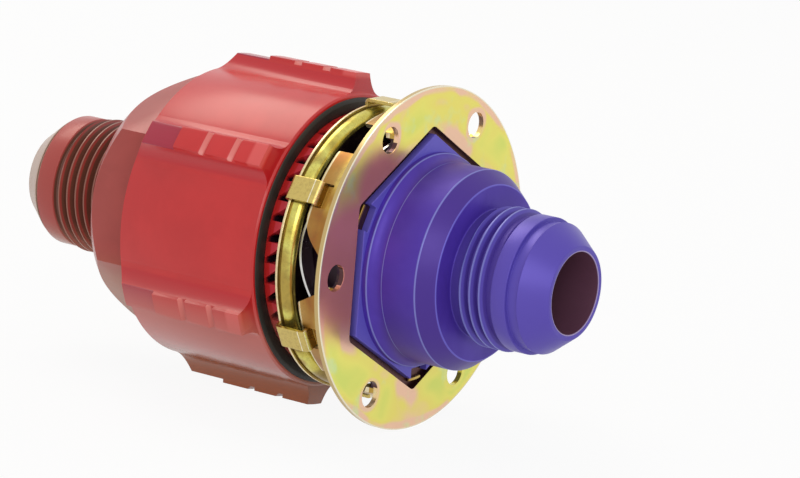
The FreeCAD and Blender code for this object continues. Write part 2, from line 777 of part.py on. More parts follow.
def make_valve_stem():
    x_head = x_stem_front - SEAT_LENGTH
    x_end = x_spider_seat - LOCK_NUT_LENGTH - STUD_END
    return turned(
        (x_stem_front, 0),
        (x_stem_front, head_r),
        *groove(x_stem_seal + head_seal_half, x_stem_seal - head_seal_half, head_r, head_groove_r),
        (x_head, head_r),
        (x_head - (head_r - STEM_R), STEM_R),
        (x_spider_front, STEM_R),
        (x_spider_front, STEM_STUD_R),
        (x_end, STEM_STUD_R),
        (x_end, 0),
    )


def make_stem_seal():
    return seal(x_stem_seal, head_groove_r, HEAD_SEAL_SECTION)


def make_stem_spider():
    hub_bore = STEM_STUD_R + FIT_CLEARANCE
    rim_r = sleeve_bore_r - FIT_CLEARANCE
    return spoked_disc(x_spider_seat, x_spider_front, hub_bore, STEM_R + HUB_WALL, sleeve_in_r, rim_r)


def make_stem_lock_nut():
    x_end = x_spider_seat - LOCK_NUT_LENGTH
    return hexagon(x_end, x_spider_seat, LOCK_NUT_FLATS / 2, STEM_STUD_R + FIT_CLEARANCE)


def make_nut_load_ring():
    x_end = x_load_ring + LOAD_RING_WIDTH
    return split_ring(x_load_ring, x_end, load_ring_in_r, load_ring_out_r, LOAD_RING_GAP)


def make_valve_sleeve():
    x_land = x_sleeve_front - SEAT_LENGTH
    x_groove = x_sleeve_seal + sleeve_seal_half
    x_groove_end = x_sleeve_seal - sleeve_seal_half
    return turned(
        (x_sleeve_front, seat_r),
        (x_sleeve_front, sleeve_r - EDGE_BREAK),
        (x_sleeve_front - EDGE_BREAK, sleeve_r),
        *groove(x_groove, x_groove_end, sleeve_r, sleeve_groove_r),
        (x_sleeve_back, sleeve_r),
        (x_sleeve_back, sleeve_in_r),
        (x_land - (sleeve_in_r - seat_r), sleeve_in_r),
        (x_land, seat_r),
    )


def make_sleeve_seal():
    return seal(x_sleeve_seal, sleeve_groove_r, SLEEVE_SEAL_SECTION)


def make_sleeve_spring():
    mean_r = (sleeve_in_r + sleeve_bore_r) / 2
    x_from = x_spider_front + FACE_GAP
    return coil_spring(x_from, x_sleeve_back - FACE_GAP, mean_r, SLEEVE_SPRING_WIRE, SLEEVE_SPRING_COILS)


# Union nut with gripping ribs and the ratchet crown

def make_union_nut():
    body = nut_envelope().common(ribbed_bar())
    body = body.cut(nut_inside())
    seat = ring(x_nut_front - DUST_RING_DEPTH, x_nut_front, crown_out_r, dust_out_r + FIT_CLEARANCE)
    body = body.cut(seat)
    collar = ring(x_nut_front - DUST_RING_DEPTH, x_roots, crown_in_r, crown_out_r)
    return fused(body, [collar, make_crown_teeth()])


def make_crown_teeth():
    """Saw teeth of the ratchet, sunk a little into the collar that carries them."""
    x_foot = x_roots - TOOTH_SINK
    ramp = tooth_pitch - TOOTH_ROOT_FLAT
    tooth = saw_tooth(x_foot, x_tips, crown_in_r - OVERCUT, crown_out_r + OVERCUT, UP, UP + ramp)
    tooth = tooth.common(ring(x_foot, x_tips, crown_in_r, crown_out_r))
    return Part.makeCompound([placed(tooth, UP + tooth_pitch * k) for k in range(CROWN_TEETH)])


def nut_envelope():
    """Turned outside of the nut over the ribs: rear taper and step, two grooves, front chamfer."""
    rear_r = rib_r - RIB_REAR_STEP
    x_step = x_nut_rear + RIB_REAR_LENGTH
    x_first = x_nut_front - RIB_GROOVE_INSET
    x_second = x_first - RIB_GROOVE_PITCH
    half = RIB_GROOVE_WIDTH / 2
    floor_r = rib_r - RIB_GROOVE_DEPTH
    return turned(
        (x_nut_rear, 0),
        (x_nut_rear, nut_r - NUT_EDGE),
        (x_nut_rear + RIB_TAIL, rear_r),
        (x_step, rear_r),
        (x_step, rib_r),
        *groove(x_second - half, x_second + half, rib_r, floor_r),
        *groove(x_first - half, x_first + half, rib_r, floor_r),
        (x_nut_front - RIB_NOSE, rib_r),
        (x_nut_front - NUT_EDGE, nut_r),
        (x_nut_front, nut_front_r),
        (x_nut_front, 0),
    )


def ribbed_bar():
    """Bar with six hollow-sided ribs along its whole length."""
    half_top = RIB_TOP_WIDTH / 2
    half_base = RIB_BASE_WIDTH / 2
    top_z = rib_r + OVERCUT
    foot_z = math.sqrt(nut_r ** 2 - half_base ** 2)
    sag_y = half_top + (half_base - half_top) * RIB_SAG_WIDTH
    sag_z = foot_z + (top_z - foot_z) * RIB_SAG_HEIGHT
    corners = [V(0, half_base, foot_z), V(0, half_top, top_z)]
    corners += [V(0, -half_top, top_z), V(0, -half_base, foot_z)]
    right = Part.Arc(corners[0], V(0, sag_y, sag_z), corners[1]).toShape()
    left = Part.Arc(corners[2], V(0, -sag_y, sag_z), corners[3]).toShape()
    root = [Part.makeLine(corners[3], ORIGIN), Part.makeLine(ORIGIN, corners[0])]
    wire = Part.Wire([right, Part.makeLine(corners[1], corners[2]), left] + root)
    rib = Part.Face(wire).extrude(V(NUT_LENGTH, 0, 0))
    rib.translate(V(x_nut_rear, 0, 0))
    ribs = [placed(rib, angle + RIB_TURN) for angle in corner_angles]
    return fused(disc(x_nut_rear, x_nut_front, nut_r), ribs)


def nut_inside():
    """Hollow of the nut: bearing on the neck, load ring space, coupling thread."""
    space_r = load_ring_out_r + LOAD_RING_SPACE
    return turned(
        (x_nut_rear, 0),
        (x_nut_rear, neck_r + TURN_CLEARANCE),
        (x_rear_wall, neck_r + TURN_CLEARANCE),
        (x_rear_wall, space_r),
        (x_mouth - (space_r - nut_thread_r), space_r),
        (x_mouth, nut_thread_r),
        (x_nut_front, nut_thread_r),
        (x_nut_front, 0),
    )


def make_nut_dust_ring():
    x_back_face = x_nut_front - DUST_RING_DEPTH
    x_edge = x_nut_front + DUST_RING_EDGE
    middle_r = (dust_in_r + dust_out_r) / 2
    return turned(
        (x_back_face, dust_in_r),
        (x_edge, dust_in_r),
        (x_nut_front + DUST_RING_PROUD, middle_r, x_edge, dust_out_r),
        (x_back_face, dust_out_r),
    )


PIECES = {
    "male_body": make_male_body,
    "flange_plate": make_flange_plate,
    "lock_ring_cup": make_lock_ring_cup,
    "cup_retaining_ring": make_cup_retaining_ring,
    "poppet_guide": make_poppet_guide,
    "guide_snap_ring": make_guide_snap_ring,
    "interface_seal": make_interface_seal,
    "lock_ring": make_lock_ring,
    "wave_spring": make_wave_spring,
    "poppet": make_poppet,
    "poppet_seal": make_poppet_seal,
    "poppet_spring": make_poppet_spring,
    "female_body": make_female_body,
    "valve_stem": make_valve_stem,
    "stem_seal": make_stem_seal,
    "stem_spider": make_stem_spider,
    "stem_lock_nut": make_stem_lock_nut,
    "nut_load_ring": make_nut_load_ring,
    "valve_sleeve": make_valve_sleeve,
    "sleeve_seal": make_sleeve_seal,
    "sleeve_spring": make_sleeve_spring,
    "union_nut": make_union_nut,
    "nut_dust_ring": make_nut_dust_ring,
}

os.makedirs("parts", exist_ok=True)
for name, make in PIECES.items():
    make().exportStep("parts/" + name + ".step")
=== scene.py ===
import math

import bmesh
import bpy
from mathutils import Matrix, Vector
from mathutils.geometry import interpolate_bezier


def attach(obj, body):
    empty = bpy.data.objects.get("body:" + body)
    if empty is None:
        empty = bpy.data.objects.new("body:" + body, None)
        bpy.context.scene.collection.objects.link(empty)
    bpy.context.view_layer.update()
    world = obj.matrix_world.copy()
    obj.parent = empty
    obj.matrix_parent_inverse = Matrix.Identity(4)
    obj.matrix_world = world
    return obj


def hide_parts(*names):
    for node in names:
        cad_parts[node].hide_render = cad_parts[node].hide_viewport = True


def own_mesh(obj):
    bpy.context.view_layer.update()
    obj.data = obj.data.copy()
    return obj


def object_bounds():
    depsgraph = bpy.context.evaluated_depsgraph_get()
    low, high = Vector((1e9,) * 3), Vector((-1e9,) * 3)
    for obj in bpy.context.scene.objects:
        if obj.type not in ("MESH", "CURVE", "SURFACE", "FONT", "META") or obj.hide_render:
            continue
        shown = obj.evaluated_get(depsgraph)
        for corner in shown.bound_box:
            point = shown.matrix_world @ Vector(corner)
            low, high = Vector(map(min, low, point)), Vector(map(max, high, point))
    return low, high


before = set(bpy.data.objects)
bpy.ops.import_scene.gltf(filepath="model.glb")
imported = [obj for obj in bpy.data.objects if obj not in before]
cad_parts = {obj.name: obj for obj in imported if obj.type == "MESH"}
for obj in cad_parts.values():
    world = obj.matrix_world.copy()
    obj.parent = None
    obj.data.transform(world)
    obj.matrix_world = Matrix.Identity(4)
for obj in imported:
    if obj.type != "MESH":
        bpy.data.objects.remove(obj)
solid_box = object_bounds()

# Mated screw coupling on its bulkhead flange.
# X is the axis, the blue half points along +X. Sizes are millimetres until they become vertices.
# Angles about the axis start at +Y, so 90 degrees is straight up, where a hexagon corner points.

MM = 0.001
WELD = MM / 1000
UP = 90.0
SIDES = 6
OVERCUT = 1.0

# Fineness of curves, and the angles from which an edge is broken or shaded sharp
TURN_STEPS = 180
THREAD_STEPS = 72
HOLE_STEPS = 48
EAR_STEPS = 12
RIB_STEPS = 12
SMALL_ROUND = 0.5
SMALL_ROUND_CUTS = 3
ROUND_CUTS = 8
BREAK_ANGLE = 35.0
SHARP_ANGLE = 21.0


def span(node):
    """First station, last station and outer radius of a solid."""
    points = [vertex.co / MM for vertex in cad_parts[node].data.vertices]
    stations = [point.x for point in points]
    return min(stations), max(stations), max(math.hypot(point.y, point.z) for point in points)


# Sizes read from the solids
x_nose, x_blue_tip, hex_corner_r = span("male_body")
x_flange_back, x_flange_face, flange_r = span("flange_plate")
x_cup_end, x_ear_end, cup_r = span("lock_ring_cup")
x_pawl_tip, x_hook_end, strap_r = span("lock_ring")
x_nut_rear, x_tooth_tip, rib_r = span("union_nut")
x_dust_back, x_dust_face, dust_r = span("nut_dust_ring")
x_red_tip, x_mouth, hose_hex_corner_r = span("female_body")
x_wave_front, x_wave_back, wave_r = span("wave_spring")

# Rounds of turned corners
HAIR_ROUND = 0.1
FINE_ROUND = 0.12
EDGE_ROUND = 0.15
SOFT_ROUND = 0.2
TIP_ROUND = 0.25
FOOT_ROUND = 0.3
MOUTH_ROUND = 0.4

# Flare ends, 37 degrees with a twelve-per-inch thread
BORE_R = 7.75
FLARE_TIP_R = 8.9
FLARE_BASE_R = 12.55
FLARE_NECK_R = 12.2
FLARE_LAND_R = 13.0
FLARE_THREAD_R = 13.49
FLARE_PITCH = 2.117
FLARE_DEPTH = 1.25
THREAD_FLANK = 30.0
THREAD_SINK = 0.2
LAP = 0.3

# Blue body
HEX_PROUD = 0.5
HEX_BREAK = 0.22
HEX_PIN_R = 0.1
COLLAR_R = 20.5
COLLAR_END = 1.5
COLLAR_FOOT = 2.45
COLLAR_SWEEP_R = 2.9
COLLAR_SWEEP_RUN = 1.6
COLLAR_ROUND = 0.16
BOSS_R = 19.2
BOSS_END = 14.7
BOSS_CHAMFER = 2.4
BOSS_CHAMFER_RUN = 3.2
BLUE_THREAD = (16.0, 23.8)
BLUE_LAND_END = 27.3
BLUE_NECK_END = 29.4
PASSAGE_R = 11.5
PASSAGE_START = 0.0
PASSAGE_END = 8.04
CHAMBER_R = 12.5
CHAMBER_END = -2.0
SEAT_R = 8.6
SEAT_LENGTH = 3.0
NOSE_R = 15.5
NOSE_LENGTH = 8.0
NOSE_GROOVE = (-34.675, -32.525)
NOSE_GROOVE_R = 13.9
JOURNAL_R = 20.0
JOURNAL_END = -17.0
COUPLING_LEAD = 8.0
COUPLING_STARTS = 3
COUPLING_DEPTH = 1.0
COUPLING_RUN_IN = 2.2
COUPLING_EASE = 0.1
RETAINER_GROOVE = (-3.05, -2.05)
RETAINER_GROOVE_R = 18.8
NOTCH_WIDTH = 4.9
NOTCH_DEPTH = 3.0
NOTCH_TURN = 2.3
NOTCH_COUNT = 3

# Gold flange and cup
FLANGE_BLANK_R = 15.0
WINDOW_FLAT_R = 22.2
WINDOW_CORNER_R = 1.5
BOLT_CIRCLE_R = 28.0
BOLT_HOLE_R = 2.55
BOLT_RELIEF_R = 3.15
CUP_SHEET = 1.0
CUP_BORE_R = 20.1
CUP_BEND_R = 1.4
CUP_BREAK_ANGLE = 50.0
TAB_GAP_INSET = 1.85
TAB_EDGE_ROUND = 0.8
GAP_LIP = 1.2
GAP_TOOL_DEPTH = 6.0
GAP_TOOL_RISE = 3.0
SLOT_START = -8.5
SLOT_END = -5.95
SLOT_WIDTH = 4.95
SLOT_CORNER_R = 0.3
SLOT_TOOL_REACH = 3.0
EAR_R = 23.92
EAR_THICKNESS = 0.6
EAR_HALF_ANGLE = 4.6

# Sides of the cup's gaps: half width and round at the free edge, then at the floor
TAB_GAP_SIDE = (4.4, 1.1, 4.4, 3.2)
VEE_SWEPT_SIDE = (7.7, 9.6, 1.1, 0.3)
VEE_STRAIGHT_SIDE = (6.8, 1.0, 3.0, 0.3)

# Gold lock ring
RING_FRONT = -14.2
RING_BACK = -11.1
RING_BORE_R = 21.4
RIM_R = 27.56
RIM_THICKNESS = 0.5
BEAD_GROOVE = 0.25
BEAD_GROOVE_R = 26.85
BEAD_R = 27.1
BEAD_BACK_R = 25.26
STRAP_WIDTH = 4.7
STRAP_SHEET = 0.7
STRAP_START = -14.65
STRAP_BEND_R = 0.2
STRAP_BREAK_ANGLE = 60.0
HOOK_REACH = 2.6
FOOT_LENGTH = 1.9
PAWL_COUNT = 3
PAWL_STEEP = 4.4
PAWL_FOOT = 0.3
WAVE_SHEET = 0.5
WAVE_IN_R = 21.6
WAVE_COUNT = 3
WAVE_CREST = 109.5

# Red nut
NUT_LENGTH = 31.9
RIB_HEIGHT = 3.8
RIB_TOP_WIDTH = 4.4
RIB_BASE_WIDTH = 10.6
RIB_TURN = -6.7
RIB_REAR_STEP = 0.7
RIB_REAR_LENGTH = 10.3
RIB_GROOVES = (7.7, 14.5)
RIB_GROOVE_WIDTH = 1.2
RIB_GROOVE_SLOPE = 0.5
RIB_GROOVE_RUN = 0.2
RIB_GROOVE_DEPTH = 0.7
RIB_FOOT_PULL = 2.2
RIB_TOP_PULL = (0.15, -2.8)
RIB_CORE_R = 20.0
RIB_NOSE = 1.1
RIB_TAIL = 2.5
NUT_EDGE = 0.35
NUT_BREAK = 0.16
NUT_NECK_R = 19.0
NUT_SPACE_R = 23.0
NUT_THREAD_R = 20.05
NUT_THREAD_START = -30.0
REAR_WALL = 4.6
CROWN_IN_R = 21.8
CROWN_OUT_R = 24.9
CROWN_ROOT = -18.6
CROWN_TEETH = 39
TOOTH_ROOT_FLAT = 1.6
TOOTH_SINK = 0.2
DUST_SEAT_DEPTH = 1.7
DUST_IN_R = 24.92
DUST_EDGE = 0.12
DUST_CROWN_HALF = 0.6

# Dull red hose body
NECK_R = 18.9
SOCKET_R = 15.7
SOCKET_END = -37.3
SLEEVE_BORE_R = 12.55
SPIDER_SEAT = -61.1
HOSE_BORE_START = -66.7
LOAD_GROOVE = (-46.0, -43.9)
LOAD_GROOVE_R = 17.4
HOSE_HEX_FRONT = -50.8
HOSE_HEX_TURN = -11.0
HOSE_HEX_BACK = -63.1
HOSE_HEX_CHAMFER = 50.0
HOSE_HEX_EASE = 0.2
HOSE_BREAK_ANGLE = 25.0
RED_THREAD = (-80.1, -65.7)
RED_LAND_END = -84.5
RED_NECK_END = -85.2

# Camera found from the circles in the photograph, which is 800 pixels wide
CAMERA_AZIMUTH = 34.38
CAMERA_HEIGHT = 11.95
CAMERA_ROLL = 4.71
CAMERA_DISTANCE = 757.1
CAMERA_RIGHT = -4.41
CAMERA_UP = 3.71
CAMERA_LENS = 180.6
CAMERA_REACH = 20.0
SENSOR_WIDTH = 36.0


def evenly(count, start=UP):
    """Angles that share out a full turn."""
    return [start + 360.0 / count * k for k in range(count)]


corner_angles = evenly(SIDES)
hole_angles = [angle + 180.0 / SIDES for angle in corner_angles]
notch_angles = evenly(NOTCH_COUNT, corner_angles[1] + NOTCH_TURN)
hex_flat_r = hex_corner_r * math.cos(math.pi / SIDES)
hose_hex_flat_r = hose_hex_corner_r * math.cos(math.pi / SIDES)
x_nut_front = x_nut_rear + NUT_LENGTH
nut_r = rib_r - RIB_HEIGHT
lip_r = BOSS_R - BOSS_CHAMFER
flare_root_r = FLARE_THREAD_R - FLARE_DEPTH
x_rim = RING_FRONT + RIM_THICKNESS


# Outlines

def rounded(points):
    """Closed outline in which a point's third number rounds its corner to that radius."""
    outline = []
    for k, point in enumerate(points):
        here = Vector(point[:2])
        if len(point) == 2:
            outline.append(here)
            continue
        back = (Vector(points[k - 1][:2]) - here).normalized()
        onward = (Vector(points[(k + 1) % len(points)][:2]) - here).normalized()
        half = back.angle(onward) / 2
        centre = here + (back + onward).normalized() * point[2] / math.sin(half)
        start = here + back * point[2] / math.tan(half) - centre
        end = here + onward * point[2] / math.tan(half) - centre
        sweep = start.angle(end)
        cuts = SMALL_ROUND_CUTS if point[2] < SMALL_ROUND else ROUND_CUTS
        for cut in range(cuts + 1):
            share = cut / cuts
            spoke = start * math.sin((1 - share) * sweep) + end * math.sin(share * sweep)
            outline.append(centre + spoke / math.sin(sweep))
    return outline


def around(x, r, angle):
    """Point at a station, radius and angle about the axis."""
    a = math.radians(angle)
    return Vector((x, r * math.cos(a), r * math.sin(a)))


def polygon(x, flat_r, corner_round=0.0, turn=0.0):
    """Hexagon across the axis, turned from having a corner straight up."""
    corner_r = flat_r / math.cos(math.pi / SIDES)
    corners = [around(0, corner_r, angle + turn).yz for angle in corner_angles]
    if corner_round:
        corners = rounded([(*corner, corner_round) for corner in corners])
    return [(x, *corner) for corner in corners]


def groove(ends, wall_r, floor_r):
    """Four corners of a square groove in a turned wall."""
    start, end = ends
    return [(start, wall_r), (start, floor_r), (end, floor_r), (end, wall_r)]


# Forms

def outlined(form, points):
    """Closed outline of stations and radii in a form, drawn at the top: its corners and edges."""
    corners = [form.verts.new((x * MM, 0, r * MM)) for x, r in points]
    return corners + [form.edges.new((corners[k - 1], corners[k])) for k in range(len(corners))]


def verts_in(geometry):
    return [item for item in geometry if isinstance(item, bmesh.types.BMVert)]


def turned(points, sweep=360.0, steps=TURN_STEPS):
    """Outline of stations and radii, spun about the axis from the top."""
    form = bmesh.new()
    outline = outlined(form, rounded(points))
    whole = sweep == 360.0
    bmesh.ops.spin(
        form, geom=outline, cent=(0, 0, 0), axis=(1, 0, 0), dvec=(0, 0, 0),
        angle=math.radians(sweep), steps=steps, use_merge=whole,
    )
    bmesh.ops.remove_doubles(form, verts=form.verts, dist=WELD)
    if not whole:
        bmesh.ops.holes_fill(form, edges=form.edges)
        half_back = Matrix.Rotation(math.radians(-sweep / 2), 3, "X")
        bmesh.ops.rotate(form, verts=form.verts, cent=(0, 0, 0), matrix=half_back)
    bmesh.ops.recalc_face_normals(form, faces=form.faces)
    return form


def tube(x0, x1, inner_r, outer_r):
    """Plain ring between two stations."""
    return turned([(x0, inner_r), (x0, outer_r), (x1, outer_r), (x1, inner_r)])


def pushed(points, way):
    """Flat outline pushed along a vector into a closed form."""
    form = bmesh.new()
    outline = [form.verts.new(Vector(point) * MM) for point in points]
    face = form.faces.new(outline)
    far = bmesh.ops.extrude_face_region(form, geom=[face], use_keep_orig=True)["geom"]
    bmesh.ops.translate(form, verts=verts_in(far), vec=Vector(way) * MM)
    bmesh.ops.recalc_face_normals(form, faces=form.faces)
    return form


def repeated(form, angles):
    """Copies of a form drawn at the top, turned about the axis to each angle."""
    first = form.verts[:] + form.edges[:] + form.faces[:]
    for angle in angles:
        copy = bmesh.ops.duplicate(form, geom=first)["geom"]
        turn = Matrix.Rotation(math.radians(angle - UP), 3, "X")
        bmesh.ops.rotate(form, verts=verts_in(copy), cent=(0, 0, 0), matrix=turn)
    bmesh.ops.delete(form, geom=verts_in(first), context="VERTS")
    return form


def mesh_of(form, name="draft"):
    """Mesh of a form, which is used up."""
    mesh = bpy.data.meshes.new(name)
    form.to_mesh(mesh)
    form.free()
    return mesh


def shown(name, data):
    """New object in the scene."""
    made = bpy.data.objects.new(name, data)
    bpy.context.scene.collection.objects.link(made)
    return made


def joined(*forms):
    """All forms in one, side by side."""
    whole = forms[0]
    for form in forms[1:]:
        mesh = mesh_of(form)
        whole.from_mesh(mesh)
        bpy.data.meshes.remove(mesh)
    return whole


def carved(form, tool, operation="DIFFERENCE"):
    """Form cut by, trimmed to or joined with a tool, which is used up."""
    blanks = [shown("draft", mesh_of(item)) for item in (form, tool)]
    cut = blanks[0].modifiers.new("carve", "BOOLEAN")
    cut.object = blanks[1]
    cut.operation = operation
    cut.solver = "EXACT"
    after = blanks[0].evaluated_get(bpy.context.evaluated_depsgraph_get())
    result = bmesh.new()
    result.from_mesh(after.to_mesh())
    after.to_mesh_clear()
    for blank in blanks:
        mesh = blank.data
        bpy.data.objects.remove(blank)
        bpy.data.meshes.remove(mesh)
    bmesh.ops.remove_doubles(result, verts=result.verts, dist=WELD)
    bmesh.ops.dissolve_degenerate(result, edges=result.edges, dist=WELD)
    return result


def softened(form, width, least_angle=BREAK_ANGLE):
    """Breaks every edge that is sharper than an angle."""
    limit = math.radians(least_angle)
    edges = [edge for edge in form.edges if edge.is_manifold and edge.calc_face_angle() > limit]
    bmesh.ops.bevel(
        form, geom=edges, offset=width * MM, offset_type="OFFSET", segments=2, profile=0.5,
        affect="EDGES", clamp_overlap=True, material=-1,
    )
    return form


def threaded(x0, x1, root_r, crest_r, lead, starts=1):
    """Helical ridges of a 60 degree thread, its crests an eighth of the pitch, chamfered at both ends."""
    pitch = lead / starts
    half_crest = pitch / 8 / 2
    foot_r = root_r - THREAD_SINK
    half_foot = half_crest + (crest_r - foot_r) * math.tan(math.radians(THREAD_FLANK))
    turns = (x1 - x0 + pitch) / lead
    steps = round(turns * THREAD_STEPS)
    ridge = [(-half_foot, foot_r), (-half_crest, crest_r), (half_crest, crest_r), (half_foot, foot_r)]
    form = bmesh.new()
    section = outlined(form, [(x0 - pitch / 2 + x, r) for x, r in ridge])
    bmesh.ops.spin(
        form, geom=section, cent=(0, 0, 0), axis=(1, 0, 0),
        dvec=(lead * turns / steps * MM, 0, 0), angle=2 * math.pi * turns, steps=steps,
    )
    bmesh.ops.holes_fill(form, edges=form.edges)
    for vertex in form.verts:
        x = vertex.co.x / MM
        r = vertex.co.yz.length / MM
        top_r = foot_r + max(0.0, min(x - x0, x1 - x))
        if r > top_r:
            vertex.co.yz *= top_r / r
    bmesh.ops.recalc_face_normals(form, faces=form.faces)
    return repeated(form, evenly(starts))


# Node trees

def feed(tree, node, inputs):
    """Gives each input named its value or its link."""
    for key, value in inputs.items():
        if isinstance(value, bpy.types.NodeSocket):
            tree.links.new(value, node.inputs[key])
        else:
            node.inputs[key].default_value = value


def add(tree, kind, inputs=None, **settings):
    """New shader node with its settings and inputs."""
    made = tree.nodes.new("ShaderNode" + kind)
    for key, value in settings.items():
        setattr(made, key, value)
    feed(tree, made, inputs or {})
    return made


def maths(tree, operation, first, second=0.5):
    return add(tree, "Math", {0: first, 1: second}, operation=operation).outputs[0]


def ranged(tree, value, low, high, to_low=0.0, to_high=1.0):
    """Value eased from one range to another."""
    inputs = {"Value": value, "From Min": low, "From Max": high, "To Min": to_low, "To Max": to_high}
    return add(tree, "MapRange", inputs, interpolation_type="SMOOTHSTEP").outputs["Result"]


def mixed(tree, share, first, second):
    """Two colours mixed by a share."""
    inputs = {0: share, 6: first, 7: second}
    return add(tree, "Mix", inputs, data_type="RGBA").outputs[2]


def noise(tree, place, scale, detail, roughness, distortion=0.0):
    inputs = {
        "Vector": place, "Scale": scale, "Detail": detail, "Roughness": roughness,
        "Distortion": distortion,
    }
    return add(tree, "TexNoise", inputs).outputs["Fac"]


def ramp(tree, share, stops):
    """Colours along a share from 0 to 1."""
    made = add(tree, "ValToRGB", {"Fac": share})
    band = made.color_ramp
    while len(band.elements) < len(stops):
        band.elements.new(1.0)
    for element, (position, colour) in zip(band.elements, stops):
        element.position = position
        element.color = (*colour, 1.0)
    return made.outputs["Color"]


def effect(name, inputs, outputs):
    """Empty node group with named inputs and outputs, all of them numbers."""
    tree = bpy.data.node_groups.new(name, "ShaderNodeTree")
    for label, value in inputs.items():
        socket = tree.interface.new_socket(label, in_out="INPUT", socket_type="NodeSocketFloat")
        socket.default_value = value
    for label in outputs:
        tree.interface.new_socket(label, in_out="OUTPUT", socket_type="NodeSocketFloat")
    given = tree.nodes.new("NodeGroupInput").outputs
    return tree, given, tree.nodes.new("NodeGroupOutput").inputs


def object_place(tree):
    return add(tree, "TexCoord").outputs["Object"]


def axis_distance(tree, place):
    """Station along the axis and distance from it, as two values."""
    parts = add(tree, "SeparateXYZ", {"Vector": place}).outputs
    across = add(tree, "CombineXYZ", {"Y": parts["Y"], "Z": parts["Z"]}).outputs[0]
    return parts["X"], add(tree, "VectorMath", {0: across}, operation="LENGTH").outputs["Value"]


def tool_marks():
    """Fine rings left by turning, round the axis on walls and faces alike."""
    tree, given, out = effect("tool_marks", {"Rings": 2600.0}, ["Height"])
    x, r = axis_distance(tree, object_place(tree))
    rings = add(tree, "CombineXYZ", {"X": x, "Y": r}).outputs[0]
    tree.links.new(noise(tree, rings, given["Rings"], detail=4.0, roughness=0.65), out["Height"])
    return tree


def handling():
    """Soft smudges and a finer grain from handling."""
    tree, given, out = effect("handling", {"Smudge": 70.0, "Grain": 1800.0}, ["Smudges", "Grain"])
    place = object_place(tree)
    smudges = noise(tree, place, given["Smudge"], detail=4.0, roughness=0.6, distortion=0.4)
    tree.links.new(ranged(tree, smudges, 0.32, 0.7), out["Smudges"])
    tree.links.new(noise(tree, place, given["Grain"], detail=2.0, roughness=0.6), out["Grain"])
    return tree


def zone():
    """Mask of what lies between two stations and between two radii, with soft bounds."""
    bounds = {"Start": -1.0, "End": 1.0, "Inner": -1.0, "Outer": 1.0, "Blur": 0.0001}
    tree, given, out = effect("zone", bounds, ["Mask"])
    x, r = axis_distance(tree, object_place(tree))
    sides = []
    for value, low, high in ((x, "Start", "End"), (r, "Inner", "Outer")):
        low_end = maths(tree, "ADD", given[low], given["Blur"])
        high_end = maths(tree, "SUBTRACT", given[high], given["Blur"])
        sides.append(ranged(tree, value, given[low], low_end))
        sides.append(ranged(tree, value, high_end, given[high], 1.0, 0.0))
    along = maths(tree, "MULTIPLY", sides[0], sides[1])
    across = maths(tree, "MULTIPLY", sides[2], sides[3])
    tree.links.new(maths(tree, "MULTIPLY", along, across), out["Mask"])
    return tree


def rainbow_film():
    """Drift of an iridescent film in soft patches, and small stains in it."""
    tree, given, out = effect("rainbow_film", {"Patches": 85.0, "Stains": 330.0}, ["Drift", "Stains"])
    place = object_place(tree)
    drift = noise(tree, place, given["Patches"], detail=1.5, roughness=0.5, distortion=0.6)
    tree.links.new(drift, out["Drift"])
    stains = noise(tree, place, given["Stains"], detail=3.0, roughness=0.6)
    tree.links.new(ranged(tree, stains, 0.54, 0.7), out["Stains"])
    return tree


effects = {make.__name__: make() for make in (tool_marks, handling, zone, rainbow_film)}


def placed_effect(tree, name, **values):
    return add(tree, "Group", values, node_tree=effects[name]).outputs


def zoned(tree, colour, zones):
    """Colour with the tint of each zone laid over it, bounds in millimetres."""
    labels = ("Start", "End", "Inner", "Outer", "Blur")
    for *bounds, tint in zones.values():
        sizes = {label: bound * MM for label, bound in zip(labels, bounds)}
        colour = mixed(tree, placed_effect(tree, "zone", **sizes)["Mask"], colour, (*tint, 1))
    return colour


finishes = {}


def surface(name):
    """New finish, kept by its name: its node tree and its shader."""
    material = bpy.data.materials.new(name)
    material.use_nodes = True
    finishes[name] = material
    tree = material.node_tree
    return tree, tree.nodes["Principled BSDF"]


def bumped(tree, shader, height, distance, strength):
    """Relief in metres on a shader."""
    bump = add(tree, "Bump", {"Height": height, "Distance": distance, "Strength": strength})
    tree.links.new(bump.outputs["Normal"], shader.inputs["Normal"])


def height_tinted(tree, colour, painted_underside):
    """Colour that gives way to another one between two heights, in millimetres."""
    height = add(tree, "SeparateXYZ", {"Vector": object_place(tree)}).outputs["Z"]
    for start, end, tint in painted_underside:
        share = ranged(tree, height, end * MM, start * MM, 1.0, 0.0)
        colour = mixed(tree, share, colour, (*tint, 1))
    return colour


def anodised(name, dye, deep, zones, painted_underside, metallic, roughness, gloss_level, coat):
    """Dyed oxide on turned aluminium, with zones of wear, painted highlight and painted shade, and painted
    floor reflection and shade towards the underside.
    """
    tree, shader = surface(name)
    touch = placed_effect(tree, "handling", Smudge=55.0)
    marks = placed_effect(tree, "tool_marks", Rings=2200.0)
    dyed = mixed(tree, touch["Smudges"], (*deep, 1), (*dye, 1))
    # Painted highlight and shade by zone, then painted floor reflection and shade towards the underside
    colour = height_tinted(tree, zoned(tree, dyed, zones), painted_underside)
    gloss = ranged(tree, touch["Smudges"], 0.0, 1.0, roughness + 0.06, roughness - 0.04)
    feed(tree, shader, {
        "Base Color": colour, "Roughness": gloss, "Metallic": metallic,
        "Specular IOR Level": gloss_level, "Coat Weight": coat, "Coat Roughness": COAT_ROUGHNESS,
    })
    bumped(tree, shader, marks["Height"], distance=0.012 * MM, strength=0.6)


